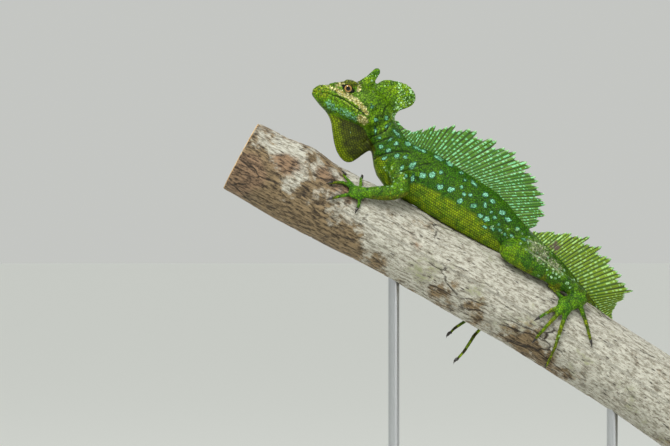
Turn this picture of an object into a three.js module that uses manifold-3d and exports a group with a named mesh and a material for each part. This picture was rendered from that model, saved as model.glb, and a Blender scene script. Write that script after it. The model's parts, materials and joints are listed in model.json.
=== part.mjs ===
// Green basilisk (a crested lizard of Central American forests), an adult male at life size, lying along
// a sloping branch. The branch is a short cut length that stands on two rods and a flat base.
// Units are millimetres. +Z is up, the nose points to -X, and the animal's left side faces -Y.
// The origin is the middle of the base's underside.
import * as THREE from "three";
import { mergeVertices } from "three/addons/utils/BufferGeometryUtils.js";
import Module from "manifold-3d";

const wasm = await Module();
wasm.setup();

const GAP = 0.3; // clear space between neighbouring pieces
const LEFT = -1;
const RIGHT = 1;
const ACROSS = new THREE.Vector3(0, 1, 0);

// Colours and finishes
const FINISH = {
  skin: { color: 0x4f8a24, roughness: 0.6 },
  belly: { color: 0x7a9416, roughness: 0.6 },
  crest: { color: 0x69a02a, roughness: 0.6 },
  throat: { color: 0x70851c, roughness: 0.65 },
  eye: { color: 0xc08a3a, roughness: 0.12 },
  bark: { color: 0xa9a28c, roughness: 0.9 },
  base: { color: 0x2c2723, roughness: 0.45 },
  rod: { color: 0x9a9c9e, roughness: 0.35, metalness: 1 },
};

// Solids: a closed three.js geometry becomes a solid, and a solid becomes a geometry again.
function solidOf(geometry, matrix) {
  const loose = geometry.index ? geometry.toNonIndexed() : geometry.clone();
  const bare = new THREE.BufferGeometry();
  bare.setAttribute("position", loose.getAttribute("position"));
  if (matrix) bare.applyMatrix4(matrix);
  const merged = mergeVertices(bare, 1e-4);
  const index = merged.index.array;
  const kept = [];
  for (let i = 0; i < index.length; i += 3) {
    const [a, b, c] = [index[i], index[i + 1], index[i + 2]];
    if (a !== b && b !== c && a !== c) kept.push(a, b, c);
  }
  const make = (triangles) =>
    new wasm.Manifold(
      new wasm.Mesh({
        numProp: 3,
        vertProperties: merged.attributes.position.array,
        triVerts: new Uint32Array(triangles),
      }),
    );
  const solid = make(kept);
  if (solid.volume() > 0) return solid;
  const turned = [];
  for (let i = 0; i < kept.length; i += 3) turned.push(kept[i], kept[i + 2], kept[i + 1]);
  return make(turned);
}

function geometryOf(solid) {
  const mesh = solid.getMesh();
  const position = new Float32Array(mesh.numVert * 3);
  for (let i = 0; i < mesh.numVert; i++) {
    position.set(mesh.vertProperties.subarray(i * mesh.numProp, i * mesh.numProp + 3), i * 3);
  }
  const geometry = new THREE.BufferGeometry();
  geometry.setAttribute("position", new THREE.BufferAttribute(position, 3));
  geometry.setIndex(new THREE.BufferAttribute(new Uint32Array(mesh.triVerts), 1));
  geometry.computeVertexNormals();
  return geometry;
}

const joined = (solids) => solids.reduce((sum, solid) => sum.add(solid));
const largest = (solid) =>
  solid.decompose().reduce((best, piece) => (piece.volume() > best.volume() ? piece : best));

function ellipsoid([x, y, z], [rx, ry, rz], turnY = 0, detail = 12) {
  const matrix = new THREE.Matrix4().compose(
    new THREE.Vector3(x, y, z),
    new THREE.Quaternion().setFromAxisAngle(ACROSS, turnY),
    new THREE.Vector3(rx, ry, rz),
  );
  return solidOf(new THREE.SphereGeometry(1, detail, Math.round(detail * 0.6)), matrix);
}

// A length of body: rounded sections along a smooth line.
// A station is [x, y, z, half width, height above the line, depth below it].
class Loft {
  constructor(stations, { above = 2, below = 2, sideways = ACROSS } = {}) {
    this.line = new THREE.CatmullRomCurve3(stations.map(([x, y, z]) => new THREE.Vector3(x, y, z)));
    this.size = new THREE.CatmullRomCurve3(
      stations.map(([, , , w, up, down]) => new THREE.Vector3(w, up ?? w, down ?? up ?? w)),
    );
    this.above = above;
    this.below = below;
    this.sideways = sideways;
    this.last = stations.length - 1;
  }

  // The section's centre, directions and half sizes at station number n, which may lie between two stations.
  at(n) {
    const t = THREE.MathUtils.clamp(n / this.last, 0, 1);
    const step = 1e-3;
    const ahead = this.line.getPoint(Math.min(1, t + step));
    const along = ahead.sub(this.line.getPoint(Math.max(0, t - step))).normalize();
    const side = this.sideways.clone().addScaledVector(along, -this.sideways.dot(along)).normalize();
    const up = along.clone().cross(side);
    return { centre: this.line.getPoint(t), along, side, up, half: this.size.getPoint(t) };
  }

  point(n, angle, grow = 0, reach = 1) {
    const { centre, side, up, half } = this.at(n);
    const high = Math.sin(angle) > 0;
    const power = 2 / (high ? this.above : this.below);
    const bent = (v) => Math.sign(v) * Math.abs(v) ** power;
    const height = (high ? half.y : half.z) + grow;
    return centre
      .addScaledVector(side, reach * bent(Math.cos(angle)) * (half.x + grow))
      .addScaledVector(up, reach * bent(Math.sin(angle)) * height);
  }

  // Millimetres of line for one step of n.
  speed(n) {
    const step = 0.02;
    return this.at(n + step).centre.distanceTo(this.at(n - step).centre) / (2 * step);
  }

  // The solid between two station numbers, with grow added all round and at both ends.
  solid({ from = 0, to = this.last, sides = 16, rings = 8, grow = 0, shape = (n, angle, p) => p } = {}) {
    const geometry = new THREE.CylinderGeometry(1, 1, 1, sides, rings);
    const position = geometry.getAttribute("position");
    for (let i = 0; i < position.count; i++) {
      const [x, y, z] = [position.getX(i), position.getY(i), position.getZ(i)];
      const share = 0.5 - y;
      const n = from + (to - from) * share;
      const angle = Math.atan2(x, z);
      const p = shape(n, angle, this.point(n, angle, grow, Math.hypot(x, z)));
      const past = share < 1e-6 ? -grow : share > 1 - 1e-6 ? grow : 0;
      p.addScaledVector(this.at(n).along, past);
      position.setXYZ(i, p.x, p.y, p.z);
    }
    return solidOf(geometry);
  }

  // The lengths between the cut numbers, with GAP between neighbours.
  lengths(cuts, options) {
    return cuts.slice(1).map((to, i) => {
      const from = cuts[i];
      const start = i === 0 ? from : from + GAP / 2 / this.speed(from);
      const end = i === cuts.length - 2 ? to : to - GAP / 2 / this.speed(to);
      return this.solid({ from: start, to: end, ...options(i) });
    });
  }
}

// A thin fin: ribs run from a base curve to an edge curve, and half(u, v) is half its thickness.
// edgeShare(u) shortens a rib, so that the free edge can be notched.
function fin({ base, edge, columns, rows, half, edgeShare = () => 1, normal = () => ACROSS }) {
  const baseLine = new THREE.CatmullRomCurve3(base.map((p) => new THREE.Vector3(...p)));
  const edgeLine = new THREE.CatmullRomCurve3(edge.map((p) => new THREE.Vector3(...p)));
  const position = [];
  const index = [];
  const vertex = (face, i, j) => (face * (columns + 1) + i) * (rows + 1) + j;
  for (const face of [0, 1]) {
    for (let i = 0; i <= columns; i++) {
      const u = i / columns;
      const foot = baseLine.getPoint(u);
      const rib = edgeLine.getPoint(u).sub(foot).multiplyScalar(edgeShare(u));
      for (let j = 0; j <= rows; j++) {
        const v = j / rows;
        const p = foot.clone().addScaledVector(rib, v);
        p.addScaledVector(normal(u), (face ? 1 : -1) * half(u, v));
        position.push(p.x, p.y, p.z);
      }
    }
  }
  const quad = (a, b, c, d) => index.push(a, b, c, a, c, d);
  for (let i = 0; i < columns; i++) {
    for (let j = 0; j < rows; j++) {
      quad(vertex(0, i, j), vertex(0, i + 1, j), vertex(0, i + 1, j + 1), vertex(0, i, j + 1));
      // The other face has the same diagonals, turned to look the other way.
      const [a, b] = [vertex(1, i, j), vertex(1, i + 1, j)];
      const [c, d] = [vertex(1, i + 1, j + 1), vertex(1, i, j + 1)];
      index.push(a, c, b, a, d, c);
    }
    quad(vertex(0, i, 0), vertex(1, i, 0), vertex(1, i + 1, 0), vertex(0, i + 1, 0));
    quad(vertex(0, i, rows), vertex(0, i + 1, rows), vertex(1, i + 1, rows), vertex(1, i, rows));
  }
  for (let j = 0; j < rows; j++) {
    quad(vertex(0, 0, j), vertex(0, 0, j + 1), vertex(1, 0, j + 1), vertex(1, 0, j));
    quad(vertex(0, columns, j), vertex(1, columns, j), vertex(1, columns, j + 1), vertex(0, columns, j + 1));
  }
  const geometry = new THREE.BufferGeometry();
  geometry.setAttribute("position", new THREE.Float32BufferAttribute(position, 3));
  geometry.setIndex(index);
  return solidOf(geometry);
}

// The branch: a bent log with low swellings and one old knot.
const BRANCH = {
  line: [
    [-187, 0, 414], [-106.8, 0, 370.8], [0, 0, 313.4], [80.7, 0, 266.5], [121.4, 0, 240], [187, 0, 195.9],
  ],
  radius: 31,
  radiusAtFoot: 33,
  swelling: 0.5,
  knot: { at: 0.115, angle: 0.62 * Math.PI, height: 5, along: 0.035, round: 0.42 },
};
const branchLine = new THREE.CatmullRomCurve3(BRANCH.line.map((p) => new THREE.Vector3(...p)));
const branchLength = branchLine.getLength();

// The branch's radius at a share of its length and an angle. Angle 0 is the far side, a quarter turn the top.
function branchRadius(share, angle) {
  const { radius, radiusAtFoot, swelling, knot } = BRANCH;
  const plain = THREE.MathUtils.lerp(radius, radiusAtFoot, share);
  const wave = Math.sin(share * 21 + angle) + Math.sin(2 * angle - share * 13);
  const turn = Math.atan2(Math.sin(angle - knot.angle), Math.cos(angle - knot.angle));
  const bump = Math.exp(-(((share - knot.at) / knot.along) ** 2) - (turn / knot.round) ** 2);
  return plain + swelling * wave + knot.height * bump;
}

function branchFrame(share) {
  const held = THREE.MathUtils.clamp(share, 0, 1);
  const along = branchLine.getTangentAt(held);
  return { centre: branchLine.getPointAt(held), along, up: along.clone().cross(ACROSS) };
}

function branchSolid(grow = 0, sides = 22, rings = 18) {
  const geometry = new THREE.CylinderGeometry(1, 1, 1, sides, rings);
  const position = geometry.getAttribute("position");
  for (let i = 0; i < position.count; i++) {
    const [x, y, z] = [position.getX(i), position.getY(i), position.getZ(i)];
    const share = 0.5 - y;
    const angle = Math.atan2(x, z);
    const { centre, along, up } = branchFrame(share);
    const reach = Math.hypot(x, z) * (branchRadius(share, angle) + grow);
    centre.addScaledVector(ACROSS, reach * Math.cos(angle)).addScaledVector(up, reach * Math.sin(angle));
    centre.addScaledVector(along, share < 1e-6 ? -grow : share > 1 - 1e-6 ? grow : 0);
    position.setXYZ(i, centre.x, centre.y, centre.z);
  }
  return solidOf(geometry);
}

// The point over the branch's surface, on one side of it, that is seen from the side at x, z.
function onBranch(x, z, side, lift) {
  let nearest = 0;
  let least = Infinity;
  for (let i = 0; i <= 400; i++) {
    const p = branchLine.getPointAt(i / 400);
    const distance = Math.hypot(p.x - x, p.z - z);
    if (distance < least) [least, nearest] = [distance, i / 400];
  }
  const { centre, up } = branchFrame(nearest);
  const height = (x - centre.x) * up.x + (z - centre.z) * up.z;
  let depth = BRANCH.radius;
  for (let i = 0; i < 6; i++) {
    const reach = branchRadius(nearest, Math.atan2(height, side * depth)) + lift;
    depth = Math.sqrt(Math.max(0, reach ** 2 - height ** 2));
  }
  return [x, side * depth, z];
}

// Trunk and tail are one loft, from inside the head to the tip of the tail.
const TRUNK = [
  [-80, 0, 455, 10.5, 11, 11],
  [-71, 0, 436, 11.5, 12, 12.5],
  [-64.5, 0, 421.5, 13.5, 14, 17],
  [-55.5, 0, 407.5, 16.5, 20, 23],
  [-34, 0, 394.5, 18, 21.5, 24],
  [-12, 0, 380.5, 18.5, 21.5, 25],
  [10, 0, 367, 17, 20.5, 24.5],
  [31, 0, 349, 14, 16.5, 19],
  [47.5, 1, 337.5, 10.5, 12.5, 13],
  [63.5, 5, 326, 8.5, 10, 9.7],
  [81.5, 14, 309, 7.2, 8, 7.8],
  [98, 24, 290, 6.3, 6.8, 6.6],
  [112, 32.5, 271.5, 5.6, 6, 6],
  [129, 38, 249.5, 5, 5.4, 5.4],
  [146.5, 40, 221.5, 4.5, 4.8, 4.8],
  [162, 40.5, 187.5, 4, 4.3, 4.3],
  [173.5, 40, 150, 3.4, 3.7, 3.7],
  [177.5, 38.5, 109, 2.9, 3.1, 3.1],
  [168, 36, 68.5, 2.4, 2.5, 2.5],
  [143, 32, 38.5, 1.9, 2, 2],
  [106, 28, 26, 1.4, 1.4, 1.4],
  [70, 24, 34, 0.5, 0.5, 0.5],
];
const trunk = new Loft(TRUNK, { above: 1.9, below: 2.6 });
const CUTS = { neckEnd: 2.4, hip: 8, tail: [11, 13, 15, 17, 19] };

// The head has its own frame: x from the tip of the snout backwards, z up from the line of the mouth.
const SNOUT = new THREE.Vector3(-128.4, 0, 466.2);
const HEAD_PITCH = THREE.MathUtils.degToRad(21);
const headFrame = new THREE.Matrix4().makeRotationY(HEAD_PITCH).setPosition(SNOUT);
const inHead = ([x, y, z]) => new THREE.Vector3(x, y, z).applyMatrix4(headFrame).toArray();

// Each row is [x, half width, top, chin].
const HEAD_PROFILE = [
  [0, 1.6, 2, 1.4], [0.9, 3.4, 4.6, 2.6], [3, 5.1, 7.2, 4], [8, 7.2, 9, 7], [13, 8.8, 11.4, 9.6],
  [18, 10.2, 15.6, 11], [24, 12, 18.6, 11.6], [31, 13.6, 19.8, 11.8], [39, 15.4, 20.4, 12],
  [47, 16.8, 20, 12], [54, 16, 18.4, 11.4], [60, 13.6, 15.6, 10], [65, 10.4, 11.5, 7.6], [67.5, 6, 6.5, 4.5],
];
const head = new Loft(
  HEAD_PROFILE.map(([x, w, top, chin]) => [...inHead([x, 0, 0]), w, top, chin]),
  { above: 2.25, below: 2.5 },
);
const headSolid = (grow) => head.solid({ sides: 18, rings: 18, grow });

const EYE = { x: 26.3, y: 6.6, z: 12.6, radius: 5.5, openWide: 10.4, openHigh: 7.2, lid: 0.9 };
const EAR = { x: 54, z: 3.6, long: 3.2, high: 4.4, deep: 1.2, rim: 0.8 };
const NOSTRIL = { x: 5, y: 5.3, z: 6, radius: 0.9 };
const BROWS = [
  { x: 17, y: 6.4, z: 13.2, long: 8, wide: 1.6, high: 1.4, turn: -0.42 },
  { x: 28.5, y: 7.6, z: 16.8, long: 7.5, wide: 3.2, high: 3.8, turn: 0 },
];
const MOUTH = { height: 0.8, deep: 1, corner: 46, rise: 7.2, tip: -0.8 };

// The outline of the eye's opening, pointed in front and behind.
function almond(wide, high) {
  const shape = new THREE.Shape();
  shape.moveTo(-wide / 2, -0.4);
  shape.quadraticCurveTo(-wide * 0.12, high * 0.98, wide / 2, 0.2);
  shape.quadraticCurveTo(0, -high * 1.02, -wide / 2, -0.4);
  return shape;
}

function buildHead() {
  let skull = headSolid(0);
  for (const side of [LEFT, RIGHT]) {
    const eye = inHead([EYE.x, side * EYE.y, EYE.z]);
    const lid = EYE.radius + EYE.lid;
    skull = skull.add(ellipsoid(eye, [lid * 1.2, lid, lid * 1.05], HEAD_PITCH));
    for (const { x, y, z, long, wide, high, turn } of BROWS) {
      skull = skull.add(ellipsoid(inHead([x, side * y, z]), [long, wide, high], HEAD_PITCH + turn, 10));
    }
    // The ear is a shallow cup with a low rim.
    const ear = onHead(EAR.x, EAR.z, side);
    const rim = ellipsoid(ear, [EAR.long + EAR.rim, EAR.rim, EAR.high + EAR.rim], HEAD_PITCH, 8);
    const cup = [ear[0], ear[1] + side * EAR.rim, ear[2]];
    skull = skull.add(rim);
    skull = skull.subtract(ellipsoid(cup, [EAR.long, EAR.deep + EAR.rim, EAR.high], HEAD_PITCH, 8));
  }
  for (const side of [LEFT, RIGHT]) {
    const eye = inHead([EYE.x, side * EYE.y, EYE.z]);
    skull = skull.subtract(ellipsoid(eye, Array(3).fill(EYE.radius + GAP)));
    const opening = new THREE.ExtrudeGeometry(almond(EYE.openWide, EYE.openHigh), {
      depth: 9,
      bevelEnabled: false,
      curveSegments: 5,
    });
    // The shape is drawn in x and y and pushed out sideways from the eye's centre.
    const place = new THREE.Matrix4()
      .makeTranslation(EYE.x, side * (EYE.y + EYE.radius * 0.55), EYE.z)
      .multiply(new THREE.Matrix4().makeRotationX(side === LEFT ? Math.PI / 2 : -Math.PI / 2));
    if (side === RIGHT) place.multiply(new THREE.Matrix4().makeScale(1, -1, 1));
    skull = skull.subtract(solidOf(opening, headFrame.clone().multiply(place)));
    const nostril = inHead([NOSTRIL.x, side * NOSTRIL.y, NOSTRIL.z]);
    skull = skull.subtract(ellipsoid(nostril, [NOSTRIL.radius * 1.3, 1.4, NOSTRIL.radius], HEAD_PITCH, 8));
  }
  return largest(skull.subtract(mouthGroove()));
}

// The point on the side of the head at x, z of the head's frame.
function onHead(x, z, side) {
  let best = null;
  let least = Infinity;
  for (let n = 0; n <= head.last; n += 0.1) {
    for (let angle = -0.6; angle <= 1.2; angle += 0.05) {
      const p = head.point(n, side === RIGHT ? angle : Math.PI - angle);
      const local = p.clone().applyMatrix4(headFrame.clone().invert());
      const distance = Math.hypot(local.x - x, local.z - z);
      if (distance < least) [least, best] = [distance, p];
    }
  }
  return best.toArray();
}

// The line of the mouth: a thin bent plate that only reaches a little way into the lips.
function mouthGroove() {
  const { height, deep, corner, rise, tip } = MOUTH;
  const line = new THREE.Shape();
  line.moveTo(-3, tip);
  line.quadraticCurveTo(corner * 0.4, rise, corner * 0.82, 0.6);
  line.lineTo(corner, -1.6);
  line.lineTo(corner * 0.82, 0.6 - height);
  line.quadraticCurveTo(corner * 0.4, rise - height, -3, tip - height);
  const plate = new THREE.ExtrudeGeometry(line, { depth: 50, bevelEnabled: false, curveSegments: 6 });
  plate.translate(0, 0, -25).rotateX(Math.PI / 2);
  return solidOf(plate, headFrame).subtract(headSolid(-deep));
}

// Crests. u runs along the crest and v from its root to its free edge.
// Each ray is a ridge on both faces that ends in a tip, and the membrane between rays is notched.
const COLUMNS_PER_RAY = 3;
const THINNEST = 0.26;

function rayedCrest({ base, edge, count, notch, root, rim, ridge, rows, normal }) {
  const onRay = (u) => Math.round(u * count * COLUMNS_PER_RAY) % COLUMNS_PER_RAY === 0;
  const half = (u, v) => {
    const ends = Math.min(1, 8 * Math.min(u, 1 - u) + 0.35);
    const membrane = THREE.MathUtils.lerp(root, rim, Math.min(1, v * 1.7)) * (v < 0.5 ? ends : 1);
    const whole = membrane + (onRay(u) ? ridge * (1 - 0.5 * v) : 0);
    return Math.max(THINNEST, v === 1 ? whole / 2 : whole);
  };
  const edgeShare = (u) => (onRay(u) ? 1 : 1 - notch);
  return fin({ base, edge, columns: count * COLUMNS_PER_RAY, rows, half, edgeShare, normal });
}

// A place of the edge lies opposite the same place of the base, so the lists also give the way the rays lean.
const BACK_CREST = {
  base: [
    [-64, 0, 444], [-57, 0, 430], [-50.5, 0, 423.2], [-44, 0, 417.4], [-37.5, 0, 413.2], [-30.5, 0, 410.2],
    [-22, 0, 406.8], [-13, 0, 402], [-5, 0, 397], [3, 0, 392], [10, 0, 387.5], [17, 0, 381.5],
    [23.5, 0, 373.5], [29, 0, 365.5], [35, 0, 357], [41, 0.5, 350.5],
  ],
  edge: [
    [-58, 0, 442], [-50, 0, 435.4], [-40.8, 0, 435.8], [-32.1, 0, 439], [-19.6, 0, 440.3], [-3.4, 0, 439],
    [12.8, 0, 432.4], [29, 0, 424.7], [42.8, 0, 416.4], [52, 0, 405], [58, 0, 394.6], [61.6, 0, 384],
    [63.6, 0, 376], [62.4, 0, 368.4], [58.4, 0, 360.6], [47.5, 0.5, 352.5],
  ],
  count: 20,
  notch: 0.13,
  root: 2,
  rim: 0.5,
  ridge: 0.55,
  rows: 3,
};

const TAIL_CREST = {
  base: [
    [47, 1, 346], [52, 2, 339.5], [58.5, 3, 333], [65, 5, 326.6], [72, 9, 319.6], [79, 12.6, 312],
    [86, 16.4, 304.4], [93, 20.4, 296.8], [100, 24.6, 288.6], [106.5, 28.6, 281], [113, 32.4, 272.5],
  ],
  edge: [
    [52, 1, 353.2], [69, 3.4, 353.4], [84, 6.4, 352.2], [97.5, 9.8, 348.8], [108.7, 14, 340], [118, 18, 331],
    [127, 22, 317.6], [135.5, 27, 304], [128.4, 29.5, 297], [121.4, 32, 290], [118.6, 33.5, 279.5],
  ],
  count: 14,
  notch: 0.1,
  root: 1.8,
  rim: 0.5,
  ridge: 0.5,
  rows: 3,
};

// The two crests of the head, as cartilage sails with no rays.
const sail = (thick, rim) => (u, v) => {
  const ends = Math.min(1, 5 * Math.min(u, 1 - u) + 0.3);
  return Math.max(0.5, THREE.MathUtils.lerp(thick, rim, v ** 0.7) * ends);
};
const HEAD_SAIL = {
  base: [
    [43.6, 0, 17.6], [48, 0, 16.5], [54, 0, 14], [58, 0, 10], [61, 0, 5], [63, 0, 1], [63, 0, -2],
  ].map(inHead),
  edge: [
    [45.4, 0, 23.4], [50, 0, 29.6], [56, 0, 32], [63, 0, 33.2], [70, 0, 33.4], [77, 0, 30.4], [81, 0, 25],
    [80, 0, 19], [76, 0, 14.8], [71.5, 0, 11.4], [70, 0, 7], [71.4, 0, 1],
  ].map(inHead),
  columns: 20,
  rows: 4,
  half: sail(3.4, 0.8),
};
const BROW_SAIL = {
  base: [[31, 0, 17], [35, 0, 17.4], [39, 0, 17.6], [42.5, 0, 17.6]].map(inHead),
  edge: [
    [30.5, 0, 20.2], [34, 0, 24.6], [37.2, 0, 29], [39.4, 0, 34], [41.6, 0, 37.2], [44.2, 0, 37.6],
    [46, 0, 35], [45.4, 0, 30.5], [43.4, 0, 22.6],
  ].map(inHead),
  columns: 14,
  rows: 4,
  half: sail(2.6, 0.7),
};

// The throat pouch hangs from chin to chest, thick at its root and rounded at its free edge.
const POUCH = {
  base: [
    [13, 0, -5], [22, 0, -5.5], [32, 0, -6], [42, 0, -6], [50, 0, -7], [56, 0, -12], [61, 0, -20],
  ].map(inHead),
  edge: [
    [14, 0, -10], [18.2, 0, -12.4], [22.8, 0, -17], [28, 0, -26.4], [34, 0, -36], [40, 0, -41.4],
    [45.8, 0, -43.6], [50, 0, -42], [54, 0, -37], [58, 0, -30.5], [64.5, 0, -23.5],
  ].map(inHead),
  columns: 14,
  rows: 5,
  half: (u, v) => 0.9 + (2.4 + 4.6 * Math.sin(Math.PI * Math.min(1, 0.12 + u))) * Math.sqrt(1 - v * v * 0.98),
};

// Limbs. A limb is one loft, parted at its joint, and its stations are [x, y, z, radius].
const LIMBS = {
  left_arm: {
    side: LEFT,
    stations: [
      [-60, -6, 411, 8], [-58.5, -16, 400.5, 8], [-55.8, -25.5, 386.8, 6.5], [-64, -28.5, 384, 6.4],
      [-74, -30, 383.6, 5.8], [-84, -30.5, 383.8, 4.4],
    ],
    joint: 2,
    names: ["left_upper_arm", "left_forearm"],
  },
  right_arm: {
    side: RIGHT,
    stations: [
      [-58, 6, 411, 8], [-52.5, 16.5, 399, 8], [-46, 27.5, 385, 6.5], [-53, 32.5, 376.5, 6.4],
      [-61, 34.5, 367.5, 5.8], [-69, 35.5, 360.5, 4.4],
    ],
    joint: 2,
    names: ["right_upper_arm", "right_forearm"],
  },
  left_leg: {
    side: LEFT,
    stations: [
      [53, -2, 334, 6], [43.5, -12, 336.5, 10.6], [31.5, -22.5, 337.4, 9], [44, -24, 329.2, 8.7],
      [61, -22.2, 319.8, 7.5], [78, -21.6, 309.2, 6.2], [91, -22.2, 299.6, 5.6],
    ],
    joint: 2,
    names: ["left_thigh", "left_shank"],
  },
  right_leg: {
    side: RIGHT,
    stations: [
      [50, 2, 336, 6], [35.5, 14.5, 341, 10.6], [18.5, 27.5, 343, 9], [24, 32.5, 331, 8.4],
      [35, 36.5, 316, 7.4], [48, 38.5, 301, 6], [59, 38, 289.5, 5.4],
    ],
    joint: 2,
    names: ["right_thigh", "right_shank"],
  },
};

// Hands and feet. A digit is a list of [x, z] places laid on the branch, or [x, y, z] places in the air.
// The first place is inside the palm.
const FINGER = { root: 1.95, tip: 1.3, sides: 6, rings: 7, claw: 4.2 };
const TOE = { root: 2.2, tip: 1.35, sides: 6, rings: 7, claw: 5 };
const HANDS = {
  left_hand: {
    side: LEFT,
    from: "left_arm",
    palm: { to: [-95.5, 384.6], wide: 6.4, thick: 3.4 },
    kind: FINGER,
    digits: [
      [[-91, 385], [-89, 390.5], [-89, 395]],
      [[-93, 386], [-97, 391.6], [-102.4, 397.2]],
      [[-93, 385], [-99, 390], [-106, 392.6], [-112.6, 391.6]],
      [[-93, 383.6], [-98.5, 382.4], [-105, 381.4], [-112, 379.4]],
      [[-91, 382], [-90, 376.4], [-92.2, 371]],
    ],
  },
  right_hand: {
    side: RIGHT,
    from: "right_arm",
    palm: { to: [-79, 354.5], wide: 6.4, thick: 3.4 },
    kind: FINGER,
    digits: [
      [[-75, 357], [-76, 363], [-77, 368]],
      [[-77, 356], [-83, 362], [-88, 368]],
      [[-78, 354.6], [-86, 358], [-92, 361], [-98, 362.6]],
      [[-78, 353.4], [-86, 352], [-94, 351.4], [-101, 351]],
      [[-75, 352.4], [-76, 345.6], [-79.4, 340]],
    ],
  },
  left_foot: {
    side: LEFT,
    from: "left_leg",
    palm: { to: [74, 292.6], wide: 7.4, thick: 3.8 },
    kind: TOE,
    digits: [
      [[78, 294.5], [72.4, 299.6], [68.6, 304.4], [65.4, 306.4]],
      [[77.4, 293.4], [70, 291.6], [61.4, 287.4], [54.4, 283]],
      [[77.4, 291.6], [70, 286.4], [61, 276.6], [52.4, 266.6]],
      [[79, 290.6], [75, 283], [71.4, 272.6], [67.4, 259], [62.2, 245.8]],
      [[88, 293], [90.6, 285.4], [93.6, 275.6], [96, 264.4]],
    ],
  },
  right_foot: {
    side: RIGHT,
    from: "right_leg",
    palm: { to: [40, 279.6], wide: 7, thick: 3.8 },
    kind: TOE,
    digits: [
      [[44, 282.4], [37, 289], [32, 295], [29, 300]],
      [[43, 281.4], [34, 284], [24.4, 286], [15.6, 287.4]],
      [[42.6, 280], [31, 280.6], [18, 281.6], [5, 282], [-6, 21, 278.4], [-15.4, 18, 269.4]],
      [
        [43.4, 278.6], [32, 275.6], [20, 276], [9.4, 276.4],
        [3.4, 14, 266], [-3.4, 11, 255.6], [-10, 8, 248.4],
      ],
      [[55, 285], [52.4, 276.4], [47, 268], [41, 260.4]],
    ],
  },
};

const LIMB_MESH = { sides: 11, rings: 6 };

// The upper length ends in a round knee or elbow, and the lower length is cut to meet it.
function limbPieces({ stations, joint }) {
  const upper = new Loft(stations.slice(0, joint + 1));
  const lower = new Loft(stations.slice(joint));
  const [x, y, z, radius] = stations[joint];
  const upperSolid = (grow) => {
    const ball = ellipsoid([x, y, z], Array(3).fill(radius + grow), 0, 10);
    return upper.solid({ ...LIMB_MESH, grow }).add(ball);
  };
  const pieces = [upperSolid(0), lower.solid(LIMB_MESH).subtract(upperSolid(GAP))];
  return { lower, pieces };
}

// A tapered digit that ends in a curved claw, on the branch's surface where its places say so.
function digit(places, side, kind) {
  const last = places.length - 1;
  const radiusAt = (i) => THREE.MathUtils.lerp(kind.root, kind.tip, i / last) * (i === 0 ? 1.15 : 1);
  const centres = places.map((place, i) =>
    place.length === 3 ? place : onBranch(...place, side, radiusAt(i) + GAP),
  );
  const stations = centres.map((centre, i) => [...centre, radiusAt(i)]);
  const tip = new THREE.Vector3(...centres[last]);
  const ahead = tip.clone().sub(new THREE.Vector3(...centres[last - 1])).normalize();
  const outward = tip.clone().sub(branchFrame(nearestShare(tip)).centre).normalize();
  // The claw rises a little over the branch and hooks down to a point.
  for (const [reach, lift, thick] of [[0.3, 0.5, 0.8], [0.7, 0.6, 0.5], [1, -0.1, 0.12]]) {
    const place = tip.clone().addScaledVector(ahead, kind.claw * reach).addScaledVector(outward, lift);
    stations.push([...place.toArray(), kind.tip * thick]);
  }
  return new Loft(stations).solid({ sides: kind.sides, rings: kind.rings });
}

function nearestShare(p) {
  let best = 0;
  let least = Infinity;
  for (let i = 0; i <= 100; i++) {
    const distance = branchLine.getPointAt(i / 100).distanceTo(p);
    if (distance < least) [least, best] = [distance, i / 100];
  }
  return best;
}

// The palm or sole starts on the limb's end face and flattens against the branch.
function hand({ side, palm, kind, digits }, limb) {
  const end = limb.at(limb.last);
  const start = end.centre.clone().addScaledVector(end.along, GAP);
  const knuckles = onBranch(...palm.to, side, palm.thick * 0.85 + GAP);
  const middle = start.clone().lerp(new THREE.Vector3(...knuckles), 0.5);
  const radial = middle.clone().sub(branchFrame(nearestShare(middle)).centre).normalize();
  const along = new THREE.Vector3(...knuckles).sub(start).normalize();
  const sideways = radial.cross(along).normalize();
  const wrist = end.half.x;
  const body = new Loft(
    [
      [...start.toArray(), wrist, wrist, wrist],
      [...middle.toArray(), (wrist + palm.wide) / 2, palm.thick * 1.05, palm.thick * 1.05],
      [...knuckles, palm.wide, palm.thick * 0.85, palm.thick * 0.85],
      [...new THREE.Vector3(...knuckles).addScaledVector(along, 3).toArray(), palm.wide * 0.5, 1.4, 1.4],
    ],
    { sideways },
  ).solid({ sides: 10, rings: 5 });
  return joined([body, ...digits.map((places) => digit(places, side, kind))]);
}

// The stand: a flat base with rounded corners, and two rods that run up into the branch.
const BASE = { long: 330, deep: 170, thick: 15, corner: 14, bevel: 2 };
const ROD = {
  radius: 4.5,
  intoBase: 8,
  intoBranch: 12,
  collar: { radius: 9, high: 4 },
  xs: { stand_rod_front: -62, stand_rod_back: 116 },
};

function baseSolid() {
  const { long, deep, thick, corner, bevel } = BASE;
  const [a, b] = [long / 2 - bevel, deep / 2 - bevel];
  const outline = new THREE.Shape();
  outline.moveTo(-a + corner, -b);
  outline.lineTo(a - corner, -b);
  outline.absarc(a - corner, -b + corner, corner, -Math.PI / 2, 0);
  outline.lineTo(a, b - corner);
  outline.absarc(a - corner, b - corner, corner, 0, Math.PI / 2);
  outline.lineTo(-a + corner, b);
  outline.absarc(-a + corner, b - corner, corner, Math.PI / 2, Math.PI);
  outline.lineTo(-a, -b + corner);
  outline.absarc(-a + corner, -b + corner, corner, Math.PI, 1.5 * Math.PI);
  const slab = new THREE.ExtrudeGeometry(outline, {
    depth: thick - bevel,
    bevelThickness: bevel,
    bevelSize: bevel,
    bevelSegments: 1,
    curveSegments: 3,
  });
  // The bevel under the slab is cut away, so that it stands on its whole flat face.
  const box = new THREE.BoxGeometry(long + 20, deep + 20, 40).translate(0, 0, 20);
  return solidOf(slab).intersect(solidOf(box));
}

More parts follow.
